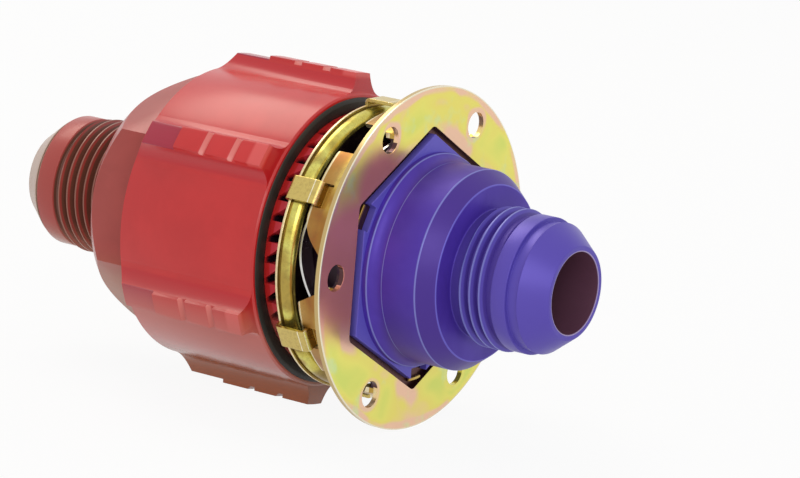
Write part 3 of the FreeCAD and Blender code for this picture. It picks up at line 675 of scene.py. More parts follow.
def chromate(name, film_colours, patches, speckle, zones, metallic, roughness, edge=None, reflection_patch=None):
    """Zinc plate under a patchy iridescent film, which may thin along an edge, with a painted rose
    reflection laid on in one place.
    """
    tree, shader = surface(name)
    patch, patch_share, patch_scale = patches
    film = placed_effect(tree, "rainbow_film", Stains=patch_scale)
    touch = placed_effect(tree, "handling", Smudge=90.0, Grain=1500.0)
    drift = film["Drift"]
    if edge:
        drift = maths(tree, "SUBTRACT", drift, maths(tree, "MULTIPLY", edge(tree), FILM_LOSS))
    share = maths(tree, "MULTIPLY", film["Stains"], patch_share)
    colour = mixed(tree, share, ramp(tree, drift, film_colours), (*patch, 1))
    # Painted rose reflection laid over the film
    if reflection_patch:
        colour = mixed(tree, reflection_patch(tree), colour, (*ROSE_REFLECTION, 1))
    specks = ranged(tree, touch["Grain"], 0.42, 0.7, 0.0, speckle)
    colour = mixed(tree, specks, zoned(tree, colour, zones), (*STAIN, 1))
    gloss = ranged(tree, touch["Smudges"], 0.0, 1.0, roughness + 0.05, roughness - 0.04)
    feed(tree, shader, {"Base Color": colour, "Roughness": gloss, "Metallic": metallic})
    bumped(tree, shader, touch["Grain"], distance=0.008 * MM, strength=0.5)


def flange_edges(tree):
    """One at the rim of the flange, round its bolt holes and, less so, along its window."""
    place = object_place(tree)
    r = axis_distance(tree, place)[1]
    parts = add(tree, "SeparateXYZ", {"Vector": place}).outputs
    angle = maths(tree, "ARCTAN2", parts["Z"], parts["Y"])
    off_hole = maths(tree, "PINGPONG", angle, math.pi / SIDES)
    from_axis = maths(tree, "MULTIPLY", r, maths(tree, "COSINE", off_hole))
    window_ends = [(WINDOW_FLAT_R + away) * MM for away in WINDOW_FILM]
    window = ranged(tree, from_axis, *window_ends, WINDOW_FILM_LOSS, 0.0)
    aside = maths(tree, "MULTIPLY", off_hole, BOLT_CIRCLE_R * MM)
    across = maths(tree, "SUBTRACT", r, BOLT_CIRCLE_R * MM)
    spread = add(tree, "CombineXYZ", {"X": aside, "Y": across}).outputs[0]
    distance = add(tree, "VectorMath", {0: spread}, operation="LENGTH").outputs["Value"]
    holes = ranged(tree, distance, *[away * MM for away in HOLE_FILM], 1.0, 0.0)
    rim = ranged(tree, r, *[(flange_r - away) * MM for away in RIM_FILM])
    return maths(tree, "MAXIMUM", maths(tree, "MAXIMUM", holes, rim), window)


def flange_reflection_patch(tree):
    """Painted reflection: a soft rose patch at one side of the flange, made of rounds that run together."""
    place = object_place(tree)
    mask = 0.0
    for y, z, full_r, end_r in REFLECTION_PATCH_ROUNDS:
        inputs = {0: place, 1: (0, y * MM, z * MM)}
        away = add(tree, "VectorMath", inputs, operation="DISTANCE").outputs["Value"]
        mask = maths(tree, "MAXIMUM", ranged(tree, away, full_r * MM, end_r * MM, 1.0, 0.0), mask)
    return mask


def plain_metal(name, light, dark, roughness):
    """Turned metal without a colour of its own."""
    tree, shader = surface(name)
    touch = placed_effect(tree, "handling", Smudge=110.0)
    marks = placed_effect(tree, "tool_marks", Rings=3000.0)
    colour = mixed(tree, touch["Smudges"], (*dark, 1), (*light, 1))
    gloss = ranged(tree, touch["Smudges"], 0.0, 1.0, roughness + 0.1, roughness)
    feed(tree, shader, {"Base Color": colour, "Roughness": gloss, "Metallic": 1.0})
    bumped(tree, shader, marks["Height"], distance=0.01 * MM, strength=0.6)


def moulded_rubber(name):
    """Matte black elastomer with a faint bloom."""
    tree, shader = surface(name)
    touch = placed_effect(tree, "handling", Smudge=140.0, Grain=2600.0)
    colour = mixed(tree, touch["Smudges"], (*RUBBER, 1), (*RUBBER_BLOOM, 1))
    gloss = ranged(tree, touch["Grain"], 0.2, 0.8, 0.45, 0.65)
    feed(tree, shader, {"Base Color": colour, "Roughness": gloss})
    bumped(tree, shader, touch["Grain"], distance=0.02 * MM, strength=0.5)


COAT_ROUGHNESS = 0.25

# Colours of the finishes, and of the painted highlights, shade and reflections laid on them
SHADE = (0.030, 0.011, 0.024)
BLUE_DYE = (0.092, 0.044, 0.46)
BLUE_DEEP = (0.076, 0.034, 0.38)
# Painted shade on the boss chamfer
BLUE_CHAMFER_SHADE = (0.074, 0.033, 0.30)
# Painted highlights on the thread crests and on the collar, sweep and chamfer edges
BLUE_EDGE_HIGHLIGHT = (0.21, 0.21, 0.62)
# Painted light on the hexagon's face, and painted highlight along the boss lip
BLUE_PAINTED_LIGHT = (0.16, 0.13, 0.62)
# Painted light on the flare end
BLUE_TIP_LIGHT = (0.115, 0.080, 0.48)
# Painted shade in the thread grooves
BLUE_GROOVE_SHADE = (0.080, 0.045, 0.33)
# Painted highlight round the bore at the tip
TIP_EDGE_HIGHLIGHT = (0.42, 0.34, 0.56)
# Painted shade inside the bore
BORE_SHADE = (0.15, 0.060, 0.10)
RED_DYE = (0.66, 0.024, 0.024)
RED_DEEP = (0.58, 0.018, 0.019)
# Painted shade on the rear flats of the ribs
RED_REAR_SHADE = (0.40, 0.010, 0.040)
# Painted highlight in the rib grooves
RED_GROOVE_HIGHLIGHT = (0.84, 0.22, 0.19)
# Painted shade on the rib flanks
RED_FLANK_SHADE = (0.57, 0.014, 0.021)
# Painted highlight, with some wear, on the rib fronts
RED_WEAR_AND_HIGHLIGHT = (0.78, 0.10, 0.095)
# Painted light on the crown teeth
RED_TOOTH_LIGHT = (0.74, 0.050, 0.075)
# Painted floor reflection and shade on the underside of the nut
RED_UNDERSIDE_REFLECTION = (0.60, 0.15, 0.125)
RED_BOTTOM_REFLECTION_SHADE = (0.43, 0.11, 0.025)
DULL_DYE = (0.42, 0.062, 0.050)
DULL_DEEP = (0.35, 0.050, 0.040)
# Painted shade in the thread grooves
DULL_GROOVE_SHADE = (0.15, 0.050, 0.030)
# Painted highlights on the thread crests
DULL_CREST_HIGHLIGHT = (0.32, 0.12, 0.085)
# Painted floor reflection on the underside of the hose body
DULL_UNDERSIDE_REFLECTION = (0.40, 0.135, 0.065)
# Paler, greyer tint on the flare cone
PALE_CONE_TINT = (0.48, 0.32, 0.24)
# Painted highlights on the flange's front edge and on the strap ends and bend
GOLD_HIGHLIGHT = (0.92, 0.84, 0.62)
# Painted shade on the side of the flange rim
RIM_SIDE_SHADE = (0.56, 0.41, 0.17)
# Painted highlight along the cup's free edges
CUP_EDGE_HIGHLIGHT = (0.74, 0.65, 0.42)
# Painted highlight on the lock ring's rim
RING_RIM_HIGHLIGHT = (0.88, 0.72, 0.46)
# Painted highlight on the cut faces of the cup
CUT_EDGE_HIGHLIGHT = (0.86, 0.76, 0.50)
STRAP_GOLD = (0.60, 0.46, 0.14)
# Painted shade on the strap hooks and feet
HOOK_SHADE_GOLD = (0.44, 0.26, 0.055)
TAB_BROWN = (0.29, 0.10, 0.030)
# Painted shade in the bead groove
BEAD_GROOVE_SHADE = (0.40, 0.29, 0.10)
MINT = (0.66, 0.83, 0.38)
# Painted rose reflection on the flange
ROSE_REFLECTION = (0.84, 0.32, 0.23)
STAIN = (0.20, 0.14, 0.040)
WINDOW_SHADE = (0.085, 0.028, 0.030)
BRIGHT_METAL = (0.72, 0.70, 0.66)
DULL_METAL = (0.60, 0.57, 0.53)
BRIGHT_STEEL = (0.66, 0.65, 0.63)
DULL_STEEL = (0.50, 0.49, 0.48)
RUBBER = (0.012, 0.011, 0.010)
RUBBER_BLOOM = (0.030, 0.025, 0.021)

# Film on the flange: its loss at an edge, and the distances over which it comes or goes,
# from the middle of a bolt hole, in from the rim and out from the window, where the loss is less
FILM_LOSS = 0.2
HOLE_FILM = (2.8, 4.2)
RIM_FILM = (2.0, 0.5)
WINDOW_FILM = (0.8, 3.8)
WINDOW_FILM_LOSS = 0.9

# Rounds of the painted rose reflection on the flange: middle, full radius and radius where it ends
REFLECTION_PATCH_ROUNDS = ((-24.0, 2.0, 9.0, 17.0), (-16.0, 15.0, 5.0, 11.0))

# Zones of the finishes and of painted highlight and shade: first and last station, inner and outer radius,
# blur, tint
PAST = 1.0
CLEAR_R = 30.0
WINDOW_SHADE_R = 26.2
FLOOR_SHADE_R = 26.0
FRONT_WEAR_AND_HIGHLIGHT = 4.5
TAB_HEAT = 4.2
FOOT_CLEAR = 3.0
x_chamfer = BOSS_END - BOSS_CHAMFER_RUN
x_sweep_end = COLLAR_FOOT + COLLAR_SWEEP_RUN
bore_clear_r = BORE_R + 0.25
sheet_r = cup_r - CUP_SHEET
blue_zones = {
    "behind the flange": (x_nose - PAST, x_flange_back - 0.05, 0.0, CLEAR_R, 0.05, SHADE),
    # Painted light on the face of the hexagon
    "hexagon": (x_flange_back - 0.1, HEX_PROUD + 0.1, COLLAR_R, CLEAR_R, 0.05, BLUE_PAINTED_LIGHT),
    # Painted shade on the boss chamfer
    "boss chamfer": (x_chamfer, BOSS_END + 0.1, lip_r, BOSS_R + PAST, 0.15, BLUE_CHAMFER_SHADE),
    # Painted light on the flare end
    "flare end": (BOSS_END, x_blue_tip + PAST, 0.0, CLEAR_R, 0.3, BLUE_TIP_LIGHT),
    # Painted shade inside the bore
    "bore": (x_nose - PAST, x_blue_tip + PAST, -PAST, BORE_R + 0.12, 0.1, BORE_SHADE),
    # Painted highlight round the bore at the tip
    "bore edge": (x_blue_tip - 0.2, x_blue_tip + PAST, BORE_R + 0.05, BORE_R + 0.3, 0.06, TIP_EDGE_HIGHLIGHT),
    # Painted shade in the thread grooves
    "thread grooves": (BOSS_END, BLUE_THREAD[1], bore_clear_r, FLARE_THREAD_R - 0.5, 0.3, BLUE_GROOVE_SHADE),
    # Painted highlights on the thread crests and along the collar, sweep and chamfer edges
    "thread crests": (*BLUE_THREAD, FLARE_THREAD_R - 0.15, FLARE_THREAD_R + 0.1, 0.08, BLUE_EDGE_HIGHLIGHT),
    "collar edge": (COLLAR_END - 0.2, COLLAR_END + 0.2, COLLAR_R - 0.2, COLLAR_R + 0.1, 0.08, BLUE_EDGE_HIGHLIGHT),
    "sweep end": (x_sweep_end - 0.12, x_sweep_end + 0.12, BOSS_R - 0.2, BOSS_R + 0.3, 0.06, BLUE_EDGE_HIGHLIGHT),
    "chamfer edge": (x_chamfer - 0.2, x_chamfer + 0.2, BOSS_R - 0.2, BOSS_R + 0.1, 0.1, BLUE_EDGE_HIGHLIGHT),
    # Painted highlight along the boss lip
    "boss lip": (BOSS_END - 0.2, BOSS_END + 0.1, lip_r - 0.2, lip_r + 0.25, 0.08, BLUE_PAINTED_LIGHT),
}
x_rib_step = x_nut_rear + RIB_REAR_LENGTH
red_zones = {
    # Painted shade on the rear flats of the ribs
    "rib rears": (x_nut_rear + RIB_TAIL, x_rib_step - 0.1, rib_r - 1.0, rib_r - 0.4, 0.1, RED_REAR_SHADE),
    # Painted shade on the rib flanks
    "rib sides": (x_nut_rear, x_nut_front, nut_r + 0.1, rib_r - 1.0, 0.3, RED_FLANK_SHADE),
    # Painted highlight, with some wear, on the rib fronts
    "rib fronts": (x_nut_front - FRONT_WEAR_AND_HIGHLIGHT, x_nut_front + PAST, rib_r - 1.2, rib_r + PAST, 0.8, RED_WEAR_AND_HIGHLIGHT),
    "mouth": (x_nut_front - 2.0, CROWN_ROOT + 1.6, 0.0, CROWN_OUT_R + 0.01, 1.2, SHADE),
    # Painted light on the crown teeth
    "crown teeth": (CROWN_ROOT + 0.9, x_tooth_tip + PAST, CROWN_IN_R, CROWN_OUT_R + 0.2, 0.3, RED_TOOTH_LIGHT),
}
# Painted highlight in each rib groove
for inset in RIB_GROOVES:
    x_groove = x_nut_front - inset
    groove_zone = (x_groove - 1.2, x_groove - 0.1, rib_r - 0.8, rib_r - 0.02, 0.15, RED_GROOVE_HIGHLIGHT)
    red_zones["rib groove %.1f" % inset] = groove_zone
dull_zones = {
    # Painted shade in the thread grooves
    "thread grooves": (RED_NECK_END, HOSE_HEX_BACK, bore_clear_r, FLARE_THREAD_R - 0.35, 0.25, DULL_GROOVE_SHADE),
    "land": (RED_LAND_END, RED_THREAD[0] - 0.1, FLARE_LAND_R - 0.3, FLARE_LAND_R + 0.1, 0.05, DULL_DYE),
    # Painted highlights on the thread crests
    "thread crests": (*RED_THREAD, FLARE_THREAD_R - 0.14, FLARE_THREAD_R + 0.1, 0.08, DULL_CREST_HIGHLIGHT),
    # Paler, greyer tint on the flare cone and its tip
    "cone": (x_red_tip - PAST, RED_NECK_END + 0.2, 0.0, CLEAR_R, 0.1, PALE_CONE_TINT),
}
flange_zones = {
    "window": (x_flange_back - PAST, x_flange_face - 0.05, 0.0, WINDOW_SHADE_R, 0.08, WINDOW_SHADE),
    # Painted shade on the side of the flange rim
    "rim": (x_flange_back - PAST, x_flange_face - 0.1, flange_r - 0.2, flange_r + PAST, 0.08, RIM_SIDE_SHADE),
    # Painted highlight along the front edge of the flange rim
    "edge": (x_flange_face - 0.24, x_flange_face + PAST, flange_r - 0.26, flange_r + PAST, 0.06, GOLD_HIGHLIGHT),
}
cup_zones = {
    "floor": (x_flange_back - CUP_SHEET - 0.2, x_flange_back + 0.5, 0.0, FLOOR_SHADE_R, 0.3, WINDOW_SHADE),
    "inside": (x_cup_end - PAST, x_flange_back - 0.4, 0.0, sheet_r + 0.1, 0.08, SHADE),
    "tabs": (x_cup_end, x_cup_end + TAB_HEAT, sheet_r + 0.3, cup_r + PAST, 1.2, TAB_BROWN),
    # Painted highlight along the free edges of the tabs
    "free edge": (x_cup_end - PAST, x_cup_end + 0.95, sheet_r + 0.1, cup_r + PAST, 0.2, CUP_EDGE_HIGHLIGHT),
    # Painted highlight on the cut faces of the sheet
    "cuts": (x_cup_end - PAST, x_flange_back - CUP_BEND_R, sheet_r + 0.05, cup_r - 0.03, 0.04, CUT_EDGE_HIGHLIGHT),
}
x_past_foot = x_hook_end + FOOT_CLEAR
ring_zones = {
    "inside": (RING_FRONT - PAST, RING_BACK + PAST, 0.0, BEAD_BACK_R + 0.3, 0.3, SHADE),
    # Painted shade in the bead groove
    "bead groove": (x_rim - 0.05, x_rim + BEAD_GROOVE, 0.0, RIM_R - 0.1, 0.04, BEAD_GROOVE_SHADE),
    # Painted highlight on the rim
    "rim": (RING_FRONT - 0.1, x_rim, RIM_R - 0.4, RIM_R + 0.03, 0.05, RING_RIM_HIGHLIGHT),
    "straps": (STRAP_START - PAST, x_past_foot, RIM_R + 0.05, strap_r + PAST, 0.05, STRAP_GOLD),
    # Painted shade on the hooks and feet
    "hooks": (x_hook_end - STRAP_SHEET - 0.3, x_past_foot, 0.0, RIM_R + 0.1, 0.05, HOOK_SHADE_GOLD),
    # Painted highlights at the strap ends and bend
    "strap front": (STRAP_START - PAST, STRAP_START + 0.28, strap_r - 0.7, strap_r + PAST, 0.1, GOLD_HIGHLIGHT),
    "strap back": (x_hook_end - 0.3, x_hook_end + PAST, strap_r - 0.9, strap_r + PAST, 0.1, GOLD_HIGHLIGHT),
    "strap bend": (x_hook_end - 1.7, x_hook_end - 1.4, strap_r - 0.1, strap_r + PAST, 0.1, GOLD_HIGHLIGHT),
}

# Painted floor reflection and shade towards the underside: height where it starts, height where it ends,
# tint
red_painted_underside = [(-7.0, -17.0, RED_UNDERSIDE_REFLECTION), (-22.0, -29.0, RED_BOTTOM_REFLECTION_SHADE)]
dull_painted_underside = [(-5.0, -15.0, DULL_UNDERSIDE_REFLECTION)]

# Films of the gold pieces, thin to thick
flange_film = [
    (0.27, (0.94, 0.60, 0.40)),
    (0.38, (0.90, 0.78, 0.16)),
    (0.50, (0.88, 0.83, 0.16)),
    (0.66, (0.72, 0.79, 0.15)),
]
cup_film = [
    (0.34, (0.36, 0.16, 0.032)),
    (0.48, (0.52, 0.33, 0.062)),
    (0.62, (0.66, 0.48, 0.13)),
]
ring_film = [
    (0.36, (0.26, 0.17, 0.040)),
    (0.45, (0.60, 0.51, 0.10)),
    (0.55, (0.68, 0.64, 0.16)),
    (0.64, (0.44, 0.32, 0.070)),
]

# Finishes
anodised(
    "blue_anodise", BLUE_DYE, BLUE_DEEP, blue_zones, [],
    metallic=0.2, roughness=0.42, gloss_level=0.25, coat=0.06,
)
anodised(
    "red_anodise", RED_DYE, RED_DEEP, red_zones, red_painted_underside,
    metallic=0.0, roughness=0.4, gloss_level=0.0, coat=1.0,
)
anodised(
    "dull_red_anodise", DULL_DYE, DULL_DEEP, dull_zones, dull_painted_underside,
    metallic=0.1, roughness=0.42, gloss_level=0.2, coat=0.5,
)
chromate(
    "flange_gold", flange_film, (MINT, 0.75, 130.0), 0.0, flange_zones,
    metallic=0.6, roughness=0.2, edge=flange_edges, reflection_patch=flange_reflection_patch,
)
chromate("cup_gold", cup_film, (STAIN, 0.3, 330.0), 0.15, cup_zones, metallic=0.8, roughness=0.28)
chromate("ring_gold", ring_film, (STAIN, 0.55, 170.0), 0.22, ring_zones, metallic=0.85, roughness=0.24)
plain_metal("bare_aluminium", BRIGHT_METAL, DULL_METAL, roughness=0.3)
plain_metal("spring_steel", BRIGHT_STEEL, DULL_STEEL, roughness=0.22)
moulded_rubber("black_rubber")

# The golds share a slot
slots = dict.fromkeys(["flange_gold", "cup_gold", "ring_gold"], "yellow_chromate")


# Pieces

def piece(name, form, finish, body, node):
    """Finished piece that stands for a solid and rides on its body."""
    bmesh.ops.remove_doubles(form, verts=form.verts, dist=WELD / 2)
    mesh = mesh_of(form, name)
    mesh.shade_smooth()
    mesh.set_sharp_from_angle(angle=math.radians(SHARP_ANGLE))
    mesh.materials.append(finishes[finish])
    made = shown(name, mesh)
    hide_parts(node)
    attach(made, body)
    return made


def flare_outline(shoulder, thread, land_end, neck_end, tip, way):
    """Outside of a flare end from its shoulder to its tip, with the thread's root."""
    x_end = max(thread, key=lambda x: x * way)
    return [
        (shoulder, flare_root_r, FOOT_ROUND),
        (x_end, flare_root_r, SOFT_ROUND),
        (x_end + way * (FLARE_LAND_R - flare_root_r) / 2, FLARE_LAND_R, EDGE_ROUND),
        (land_end, FLARE_LAND_R, EDGE_ROUND),
        (land_end, FLARE_NECK_R, HAIR_ROUND),
        (neck_end, FLARE_NECK_R, HAIR_ROUND),
        (neck_end, FLARE_BASE_R, FINE_ROUND),
        (tip, FLARE_TIP_R, TIP_ROUND),
        (tip, BORE_R, TIP_ROUND),
    ]


def make_blue_body():
    x_shoulder = x_nose + NOSE_LENGTH
    coupling_root_r = JOURNAL_R - COUPLING_DEPTH
    body = turned([
        (x_nose, SEAT_R),
        (x_nose, NOSE_R, MOUTH_ROUND),
        *groove(NOSE_GROOVE, NOSE_R, NOSE_GROOVE_R),
        (x_shoulder, NOSE_R),
        (x_shoulder, coupling_root_r, FOOT_ROUND),
        (JOURNAL_END, coupling_root_r),
        (JOURNAL_END, JOURNAL_R, SOFT_ROUND),
        *groove(RETAINER_GROOVE, JOURNAL_R, RETAINER_GROOVE_R),
        (x_flange_back + LAP, JOURNAL_R),
        (x_flange_back + LAP, COLLAR_R),
        (COLLAR_END, COLLAR_R, COLLAR_ROUND),
        (COLLAR_FOOT, BOSS_R, COLLAR_SWEEP_R),
        (x_chamfer, BOSS_R, FOOT_ROUND),
        (BOSS_END, lip_r, SOFT_ROUND),
        *flare_outline(BOSS_END, BLUE_THREAD, BLUE_LAND_END, BLUE_NECK_END, x_blue_tip, 1),
        (PASSAGE_END, BORE_R),
        (PASSAGE_START, PASSAGE_R),
        (CHAMBER_END, PASSAGE_R),
        (CHAMBER_END, CHAMBER_R),
        (x_nose + SEAT_LENGTH + CHAMBER_R - SEAT_R, CHAMBER_R),
        (x_nose + SEAT_LENGTH, SEAT_R),
    ])
    flare = threaded(*BLUE_THREAD, flare_root_r, FLARE_THREAD_R, FLARE_PITCH)
    coupling = threaded(
        x_shoulder + COUPLING_RUN_IN, JOURNAL_END, coupling_root_r, JOURNAL_R - COUPLING_EASE,
        COUPLING_LEAD, COUPLING_STARTS,
    )
    form = joined(body, flare, coupling, make_blue_hexagon())
    piece("blue_body", form, "blue_anodise", "male_half", "male_body")


def make_blue_hexagon():
    """Hexagon in the flange's window, with a square notch at every other corner.

    The tool for its core leaves a thin pin on the axis, hidden in the poppet's tail at rest.
    """
    thickness = HEX_PROUD - x_flange_back
    hexagon = pushed(polygon(x_flange_back, hex_flat_r), (thickness, 0, 0))
    x_cut = x_flange_back - OVERCUT
    core = tube(x_cut, HEX_PROUD + OVERCUT, HEX_PIN_R, CHAMBER_R + OVERCUT)
    half = NOTCH_WIDTH / 2
    floor_r = hex_corner_r - NOTCH_DEPTH
    notch = pushed([
        (x_cut, -half, floor_r),
        (x_cut, half, floor_r),
        (x_cut, half, hex_corner_r + OVERCUT),
        (x_cut, -half, hex_corner_r + OVERCUT),
    ], (thickness + 2 * OVERCUT, 0, 0))
    hexagon = carved(hexagon, core)
    return softened(carved(hexagon, repeated(notch, notch_angles)), HEX_BREAK)


def make_flange():
    plate = tube(x_flange_back, x_flange_face, FLANGE_BLANK_R, flange_r)
    x0 = x_flange_back - OVERCUT
    x1 = x_flange_face + OVERCUT
    window = pushed(polygon(x0, WINDOW_FLAT_R, WINDOW_CORNER_R), (x1 - x0, 0, 0))
    hole = bolt_tool(x0, x1, BOLT_HOLE_R)
    plate = carved(plate, window)
    plate = softened(carved(plate, repeated(hole, hole_angles)), SOFT_ROUND)
    piece("gold_flange", plate, "flange_gold", "male_half", "flange_plate")


def bolt_tool(x0, x1, r):
    """Round bar along the axis at the top of the bolt circle."""
    turn = [2 * math.pi * k / HOLE_STEPS for k in range(HOLE_STEPS)]
    points = [(x0, r * math.cos(a), BOLT_CIRCLE_R + r * math.sin(a)) for a in turn]
    return pushed(points, (x1 - x0, 0, 0))


def make_cup():
    x_floor = x_flange_back - CUP_SHEET
    cup = turned([
        (x_flange_back, CUP_BORE_R),
        (x_flange_back, cup_r, CUP_BEND_R),
        (x_cup_end, cup_r, TAB_EDGE_ROUND),
        (x_cup_end, sheet_r, EDGE_ROUND),
        (x_floor, sheet_r, CUP_BEND_R - CUP_SHEET),
        (x_floor, CUP_BORE_R),
    ])
    tab_gap = gap_tool(TAB_GAP_SIDE, TAB_GAP_SIDE)
    vee_gap = gap_tool(VEE_SWEPT_SIDE, VEE_STRAIGHT_SIDE)
    relief = bolt_tool(x_cup_end - OVERCUT, x_flange_back + OVERCUT, BOLT_RELIEF_R)
    cup = carved(cup, repeated(slot_tool(), corner_angles))
    cup = carved(cup, repeated(tab_gap, hole_angles[0::2]))
    cup = carved(cup, repeated(vee_gap, hole_angles[1::2]))
    cup = softened(carved(cup, repeated(relief, hole_angles)), SOFT_ROUND, CUP_BREAK_ANGLE)
    ear = turned([
        (x_floor + CUP_SHEET / 2, EAR_R - EAR_THICKNESS),
        (x_floor + CUP_SHEET / 2, EAR_R),
        (x_ear_end, EAR_R, EDGE_ROUND),
        (x_ear_end, EAR_R - EAR_THICKNESS, EDGE_ROUND),
    ], 2 * EAR_HALF_ANGLE, EAR_STEPS)
    cup = joined(cup, repeated(ear, notch_angles))
    piece("gold_cup", cup, "cup_gold", "male_half", "lock_ring_cup")


def slot_tool():
    """Square bar pushed out through the cup's wall at the top."""
    half = SLOT_WIDTH / 2
    corners = [(SLOT_START, -half), (SLOT_END, -half), (SLOT_END, half), (SLOT_START, half)]
    outline = rounded([(*corner, SLOT_CORNER_R) for corner in corners])
    return pushed([(x, y, cup_r - SLOT_TOOL_REACH) for x, y in outline], (0, 0, 2 * SLOT_TOOL_REACH))


def gap_tool(*sides):
    """Bar through the cup's wall at the top, with a side to the left and one to the right."""
    x_floor = x_flange_back - TAB_GAP_INSET
    outline = []
    for mouth, mouth_round, floor, floor_round in sides:
        lip = mouth + GAP_LIP * mouth_round
        edge = [
            (x_cup_end - OVERCUT, lip),
            (x_cup_end, lip),
            (x_cup_end, mouth, mouth_round),
            (x_floor, floor, floor_round),
        ]
        outline = edge + [(x, -y, *turn) for x, y, *turn in reversed(outline)]
    start = [(x, -y, cup_r - GAP_TOOL_DEPTH) for x, y in rounded(outline)]
    return pushed(start, (0, 0, GAP_TOOL_DEPTH + GAP_TOOL_RISE))


def make_lock_ring():
    x_bead = x_rim + BEAD_GROOVE
    ring = turned([
        (RING_FRONT, RING_BORE_R),
        (RING_FRONT, RIM_R, FINE_ROUND),
        (x_rim, RIM_R, FINE_ROUND),
        (x_rim, BEAD_GROOVE_R),
        (x_bead, BEAD_GROOVE_R),
        (x_bead, BEAD_R, SOFT_ROUND),
        (RING_BACK, BEAD_R, BEAD_R - BEAD_BACK_R),
        (RING_BACK, RING_BORE_R),
    ])
    straps = repeated(make_strap(), corner_angles)
    pawl = saw_tooth(x_rim, x_pawl_tip, UP + PAWL_STEEP, UP + PAWL_FOOT)
    form = joined(ring, straps, repeated(pawl, evenly(PAWL_COUNT)))
    piece("gold_lock_ring", form, "ring_gold", "lock_ring", "lock_ring")


def make_strap():
    """Flat strap from the rim, over a tab of the cup and bent in through its slot to a foot."""
    bend = STRAP_BEND_R + STRAP_SHEET
    root_r = RIM_R - STRAP_SHEET
    hook_r = strap_r - STRAP_SHEET - HOOK_REACH
    inner_r = strap_r - STRAP_SHEET
    side = rounded([
        (STRAP_START, root_r),
        (STRAP_START, strap_r, bend),
        (x_hook_end, strap_r, bend),
        (x_hook_end, hook_r + STRAP_SHEET, STRAP_BEND_R),
        (x_hook_end + FOOT_LENGTH, hook_r + STRAP_SHEET),
        (x_hook_end + FOOT_LENGTH, hook_r),
        (x_hook_end - STRAP_SHEET, hook_r, bend),
        (x_hook_end - STRAP_SHEET, inner_r, STRAP_BEND_R),
        (STRAP_START + STRAP_SHEET, inner_r, STRAP_BEND_R),
        (STRAP_START + STRAP_SHEET, root_r),
    ])
    strap = pushed([(x, -STRAP_WIDTH / 2, r) for x, r in side], (0, STRAP_WIDTH, 0))
    return softened(strap, FINE_ROUND, STRAP_BREAK_ANGLE)


def saw_tooth(x_root, x_tip, steep, foot):
    """Radial tooth with one steep flank and a ramp down to its foot."""
    form = bmesh.new()
    for r in (CROWN_IN_R, CROWN_OUT_R):
        for point in (around(x_root, r, steep), around(x_tip, r, steep), around(x_root, r, foot)):
            form.verts.new(point * MM)
    bmesh.ops.convex_hull(form, input=form.verts)
    bmesh.ops.recalc_face_normals(form, faces=form.faces)
    return form


def make_wave_spring():
    """Closed ring of waved spring strip, inside the hooks."""
    middle = (x_wave_front + x_wave_back) / 2
    swing = (x_wave_back - x_wave_front - WAVE_SHEET) / 2
    spring = tube(middle - WAVE_SHEET / 2, middle + WAVE_SHEET / 2, WAVE_IN_R, wave_r)
    for vertex in spring.verts:
        angle = math.atan2(vertex.co.z, vertex.co.y) - math.radians(WAVE_CREST)
        vertex.co.x += swing * math.cos(WAVE_COUNT * angle) * MM
    made = piece("wave_strip", spring, "spring_steel", "male_half", "wave_spring")
    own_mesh(made)


def make_nut():
    ring = turned(nut_outline())
    core = tube(x_nut_rear - OVERCUT, x_nut_front + 2 * OVERCUT, SOCKET_R, nut_r)
    ribs = repeated(make_rib(), [angle + RIB_TURN for angle in corner_angles])
    bar = carved(core, ribs, "UNION")
    nut = softened(carved(ring, bar, "INTERSECT"), NUT_BREAK)
    ramp_end = UP + 360.0 / CROWN_TEETH - TOOTH_ROOT_FLAT
    tooth = saw_tooth(CROWN_ROOT - TOOTH_SINK, x_tooth_tip, UP, ramp_end)
    nut = joined(nut, repeated(tooth, evenly(CROWN_TEETH)))
    piece("red_nut", nut, "red_anodise", "union_nut", "union_nut")


def nut_outline():
    """Turned outside over the ribs, the crown's collar and the hollow inside."""
    rear_r = rib_r - RIB_REAR_STEP
    half = RIB_GROOVE_WIDTH / 2
    floor_r = rib_r - RIB_GROOVE_DEPTH
    grooves = []
    for inset in sorted(RIB_GROOVES, reverse=True):
        x = x_nut_front - inset
        grooves += [
            (x - half - RIB_GROOVE_SLOPE, rib_r),
            (x - half + RIB_GROOVE_RUN, floor_r),
            (x + half, floor_r),
            (x + half, rib_r),
        ]
    return [
        (x_nut_rear, NUT_NECK_R),
        (x_nut_rear, nut_r - NUT_EDGE),
        (x_nut_rear + RIB_TAIL, rear_r),
        (x_rib_step, rear_r),
        (x_rib_step, rib_r),
        *grooves,
        (x_nut_front - RIB_NOSE, rib_r),
        (x_nut_front - NUT_EDGE, nut_r),
        (x_nut_front, nut_r - NUT_EDGE),
        (x_nut_front, dust_r),
        (x_nut_front - DUST_SEAT_DEPTH, dust_r),
        (x_nut_front - DUST_SEAT_DEPTH, CROWN_OUT_R),
        (CROWN_ROOT, CROWN_OUT_R),
        (CROWN_ROOT, CROWN_IN_R),
        (x_nut_front, CROWN_IN_R),
        (x_nut_front, NUT_THREAD_R),
        (NUT_THREAD_START, NUT_THREAD_R),
        (NUT_THREAD_START - NUT_SPACE_R + NUT_THREAD_R, NUT_SPACE_R),
        (x_nut_rear + REAR_WALL, NUT_SPACE_R),
        (x_nut_rear + REAR_WALL, NUT_NECK_R),
    ]


